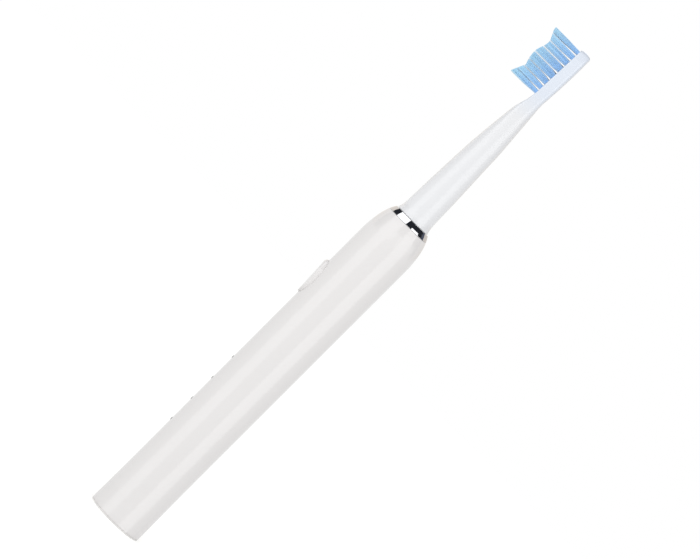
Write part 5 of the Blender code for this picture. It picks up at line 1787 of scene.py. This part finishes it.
@dataclass
class KeyLight:
    """A large soft lamp beside the camera, which reflections don't see."""

    azimuth: float = 8.0
    elevation: float = 14.0
    distance: float = 1.7
    width: float = 1.3
    radiance: float = 1.28

    def build(self, target: Vector) -> None:
        """Add the lamp with the power that gives it its radiance.

        Args:
            target: The point that it faces.
        """
        away = heading(self.azimuth, self.elevation)
        bpy.ops.object.light_add(type="AREA", location=target + away * self.distance)
        lamp = bpy.context.object
        lamp.name = "key_light"
        lamp.rotation_euler = away.to_track_quat("Z", "Y").to_euler()
        lamp.data.size = self.width
        lamp.data.energy = self.radiance * math.pi * self.width**2
        lamp.visible_camera = lamp.visible_glossy = False


@dataclass
class Card:
    """A glowing or dark card that only reflections see, bent to a patch of a sphere."""

    name: str
    colour: str
    strength: float
    distance: float = 0.8

    def place(self, across: float, up: float) -> Vector:
        """Return the direction of a place on the card, given from 0 to 1 each way."""
        raise NotImplementedError

    def build(self, target: Vector) -> Piece:
        """Bend a grid round the object and make it glow evenly, as reflections alone see.

        Args:
            target: The point that it faces.

        Returns:
            The card.
        """
        across, up = CARD_FACES
        deselect_all()
        bpy.ops.mesh.primitive_grid_add(x_subdivisions=across, y_subdivisions=up, size=1)
        card = start_piece(self.name)
        mesh = bmesh.from_edit_mesh(card.data)
        for vertex in mesh.verts:
            toward = self.place(vertex.co.x + 0.5, vertex.co.y + 0.5)
            vertex.co = target + toward * self.distance
        bmesh.update_edit_mesh(card.data)
        bpy.ops.object.mode_set(mode="OBJECT")
        glow = bpy.data.materials.new(self.name)
        glow.cycles.emission_sampling = "NONE"
        tree = empty_tree(glow)
        even = {"Color": linear(self.colour), "Strength": self.strength}
        light = add_node(tree, "ShaderNodeEmission", even).outputs[0]
        add_node(tree, "ShaderNodeOutputMaterial", links={"Surface": light})
        card.data.materials.append(glow)
        card.visible_camera = card.visible_diffuse = False
        card.visible_shadow = card.visible_transmission = False
        return card


@dataclass
class BandCard(Card):
    """A tall card whose reflection runs as a soft band along the whole brush."""

    azimuths: tuple[float, float] = (0.0, 1.0)
    elevations: tuple[float, float] = (-30.0, 30.0)

    def place(self, across: float, up: float) -> Vector:
        """Return the direction of a place on the card, given from 0 to 1 each way."""
        (first, last), (low, high) = self.azimuths, self.elevations
        return heading(first + (last - first) * across, low + (high - low) * up)


@dataclass
class RingCard(Card):
    """A card given by the part of the chrome ring in which it is to be seen.

    The turns are angles round the ring from the camera's side towards the bristle side,
    at the lower and at the upper tilt of the ring's surface.
    """

    low_turns: tuple[float, float] = (0.0, 1.0)
    high_turns: tuple[float, float] = (0.0, 1.0)
    tilts: tuple[float, float] = (0.0, 90.0)
    view_slope: float = 0.023

    def place(self, across: float, up: float) -> Vector:
        """Find where the camera's line of sight goes from a place on the ring.

        Args:
            across: From 0 at the card's first turn to 1 at its last.
            up: From 0 at its lower tilt to 1 at its upper one.

        Returns:
            The direction.
        """
        (low_first, low_last), (high_first, high_last) = self.low_turns, self.high_turns
        low = low_first + (low_last - low_first) * across
        high = high_first + (high_last - high_first) * across
        tilt = self.tilts[0] + (self.tilts[1] - self.tilts[0]) * up
        sight = Vector((-1, 0, -self.view_slope)).normalized()
        return sight.reflect(heading(low + (high - low) * up, tilt))


@dataclass
class Studio:
    """Plain pale floor, white surroundings, soft lamps and the photograph's camera."""

    target: Vector = field(default_factory=lambda: Vector((0, -0.9 * MM, 124.7 * MM)))
    ring_spot: Vector = field(default_factory=lambda: Vector((0, 0, 155.4 * MM)))
    distance: float = 1.31
    elevation: float = 2.7
    roll: float = 45.0
    lens: float = 182.06
    sensor: float = 36.0
    clip: tuple[float, float] = (0.01, 50.0)
    ambient: float = 0.81
    floor_size: float = 4.0
    floor_drop: float = 0.05 * MM
    floor_glow: float = 0.36
    floor_colours: tuple[str, str] = ("EEEEEC", "EAEAE8")
    floor_noise: float = 30.0

    def seen(self, tree: Tree) -> Socket:
        """Find where a ray comes from the camera, a reflection or clear plastic.

        Args:
            tree: The node tree of the surroundings or the floor.

        Returns:
            One there and zero elsewhere.
        """
        path = add_node(tree, "ShaderNodeLightPath").outputs
        share = path["Is Camera Ray"]
        for kind in ("Is Glossy Ray", "Is Transmission Ray"):
            links = {0: share, 1: path[kind]}
            share = add_node(tree, "ShaderNodeMath", {"operation": "MAXIMUM"}, links).outputs[0]
        return share

    def background(self) -> None:
        """Make surroundings that look and reflect white but light the object softly."""
        world = bpy.data.worlds.new("white_studio")
        bpy.context.scene.world = world
        tree = empty_tree(world)
        white = (1.0, 1.0, 1.0, 1.0)
        links = {0: self.seen(tree)}
        for number, strength in ((1, self.ambient), (2, 1.0)):
            even = {"Color": white, "Strength": strength}
            links[number] = add_node(tree, "ShaderNodeBackground", even).outputs[0]
        mixed = add_node(tree, "ShaderNodeMixShader", links=links).outputs[0]
        add_node(tree, "ShaderNodeOutputWorld", links={"Surface": mixed})

    def floor(self) -> None:
        """Lay a pale floor that looks white and still takes the object's shadow."""
        deselect_all()
        spot = (0, 0, -self.floor_drop)
        bpy.ops.mesh.primitive_plane_add(size=self.floor_size, location=spot)
        plane = bpy.context.object
        plane.name = "floor"
        paint = bpy.data.materials.new("matt_floor_paint")
        tree = empty_tree(paint)
        place = add_node(tree, "ShaderNodeTexCoord").outputs["Object"]
        noise = add_node(tree, "ShaderNodeTexNoise", {"Scale": self.floor_noise}, {"Vector": place})
        light, dark = (linear(colour) for colour in self.floor_colours)
        colours = {"data_type": "RGBA", FROM: light, TO: dark}
        tone = add_node(tree, "ShaderNodeMix", colours, {0: noise.outputs["Fac"]}).outputs[MIXED]
        matt = add_node(tree, "ShaderNodeBsdfDiffuse", links={"Color": tone}).outputs[0]
        glow = add_node(tree, "ShaderNodeEmission", {"Strength": self.floor_glow}).outputs[0]
        lit = add_node(tree, "ShaderNodeAddShader", links={0: matt, 1: glow}).outputs[0]
        links = {0: self.seen(tree), 1: matt, 2: lit}
        mixed = add_node(tree, "ShaderNodeMixShader", links=links).outputs[0]
        add_node(tree, "ShaderNodeOutputMaterial", links={"Surface": mixed})
        plane.data.materials.append(paint)
        plane.visible_glossy = False

    def lights(self) -> None:
        """Set up the key light, the two band cards and the cards round the chrome ring."""
        KeyLight().build(self.target)
        black, beige, white = "2C2E34", "F0E8E0", "FFFFFF"
        bands = (
            ("bristle_side_band", white, 2.2, 0.8, (26, 66)),
            ("back_side_band", white, 2.55, 0.8, (-70, -26)),
        )
        for band in bands:
            BandCard(*band).build(self.target)
        cards = (
            ("ring_left_end", beige, 1.1, 0.8, (56, 90), (54, 90), (5, 60)),
            ("ring_left_black", black, 1.0, 0.8, (36, 57), (38, 55), (5, 60)),
            ("ring_left_white", white, 1.7, 0.9, (4, 38), (1, 40), (5, 46)),
            ("ring_right_white", white, 1.7, 0.9, (-38, -7), (-38, -7), (5, 27.5)),
            ("ring_right_black", black, 1.0, 0.8, (-47, 5), (-47, 2), (26, 50)),
            ("ring_middle_black", black, 1.0, 0.8, (-10, 8), (-11, 5), (12, 27)),
            ("ring_corner_black", black, 1.0, 0.8, (-47, -35), (-47, -32), (12, 27)),
            ("ring_right_shade", "5B6070", 1.0, 0.8, (-56, -47), (-56, -47), (5, 60)),
            ("ring_right_end", beige, 0.95, 0.8, (-90, -56), (-90, -56), (5, 60)),
            ("ring_edge_black", black, 1.0, 0.7, (-60, 60), (-60, 60), (46, 80)),
        )
        for card in cards:
            RingCard(*card).build(self.ring_spot)

    def camera(self) -> None:
        """Place the camera at the photograph's viewing angle."""
        away = heading(0, self.elevation)
        right = (-away).cross(Vector((0, 0, 1))).normalized()
        upright = right.cross(-away).normalized()
        turn = math.radians(self.roll)
        image_up = upright * math.cos(turn) - right * math.sin(turn)
        image_right = upright * math.sin(turn) + right * math.cos(turn)
        matrix = Matrix((image_right, image_up, away)).transposed().to_4x4()
        matrix.translation = self.target + away * self.distance
        bpy.ops.object.camera_add()
        camera = bpy.context.object
        camera.name = "photo_camera"
        camera.matrix_world = matrix
        camera.data.sensor_width = self.sensor
        camera.data.lens = self.lens
        camera.data.clip_start, camera.data.clip_end = self.clip
        bpy.context.scene.camera = camera

    def build(self) -> None:
        """Set up the whole studio."""
        self.camera()
        self.background()
        self.floor()
        self.lights()
        bpy.context.scene.view_settings.view_transform = "Standard"


def clear_leftovers() -> None:
    """Remove what the start-up file holds besides the frame."""
    kept = {*frame["nodes"].values(), *frame["bodies"].values()}
    for obj in list(bpy.data.objects):
        if obj not in kept:
            bpy.data.objects.remove(obj)


def main() -> None:
    """Dress the frame piece by piece and set up the studio."""
    logging.basicConfig(level=logging.INFO, format="%(name)s: %(message)s")
    clear_leftovers()
    Studio().build()
    InnerParts(KEPT_NODES).dress()
    handle, button = Handle(), PowerButton()
    handle.build(button)
    button.build()
    NeckRing().build(handle)
    FootCap().build()
    ChargeLights().build(handle)
    DriveShaft().build()
    head, bristles = BrushHead(), BristleField()
    head.build(bristles)
    bristles.build(head)


if __name__ == "__main__":
    main()
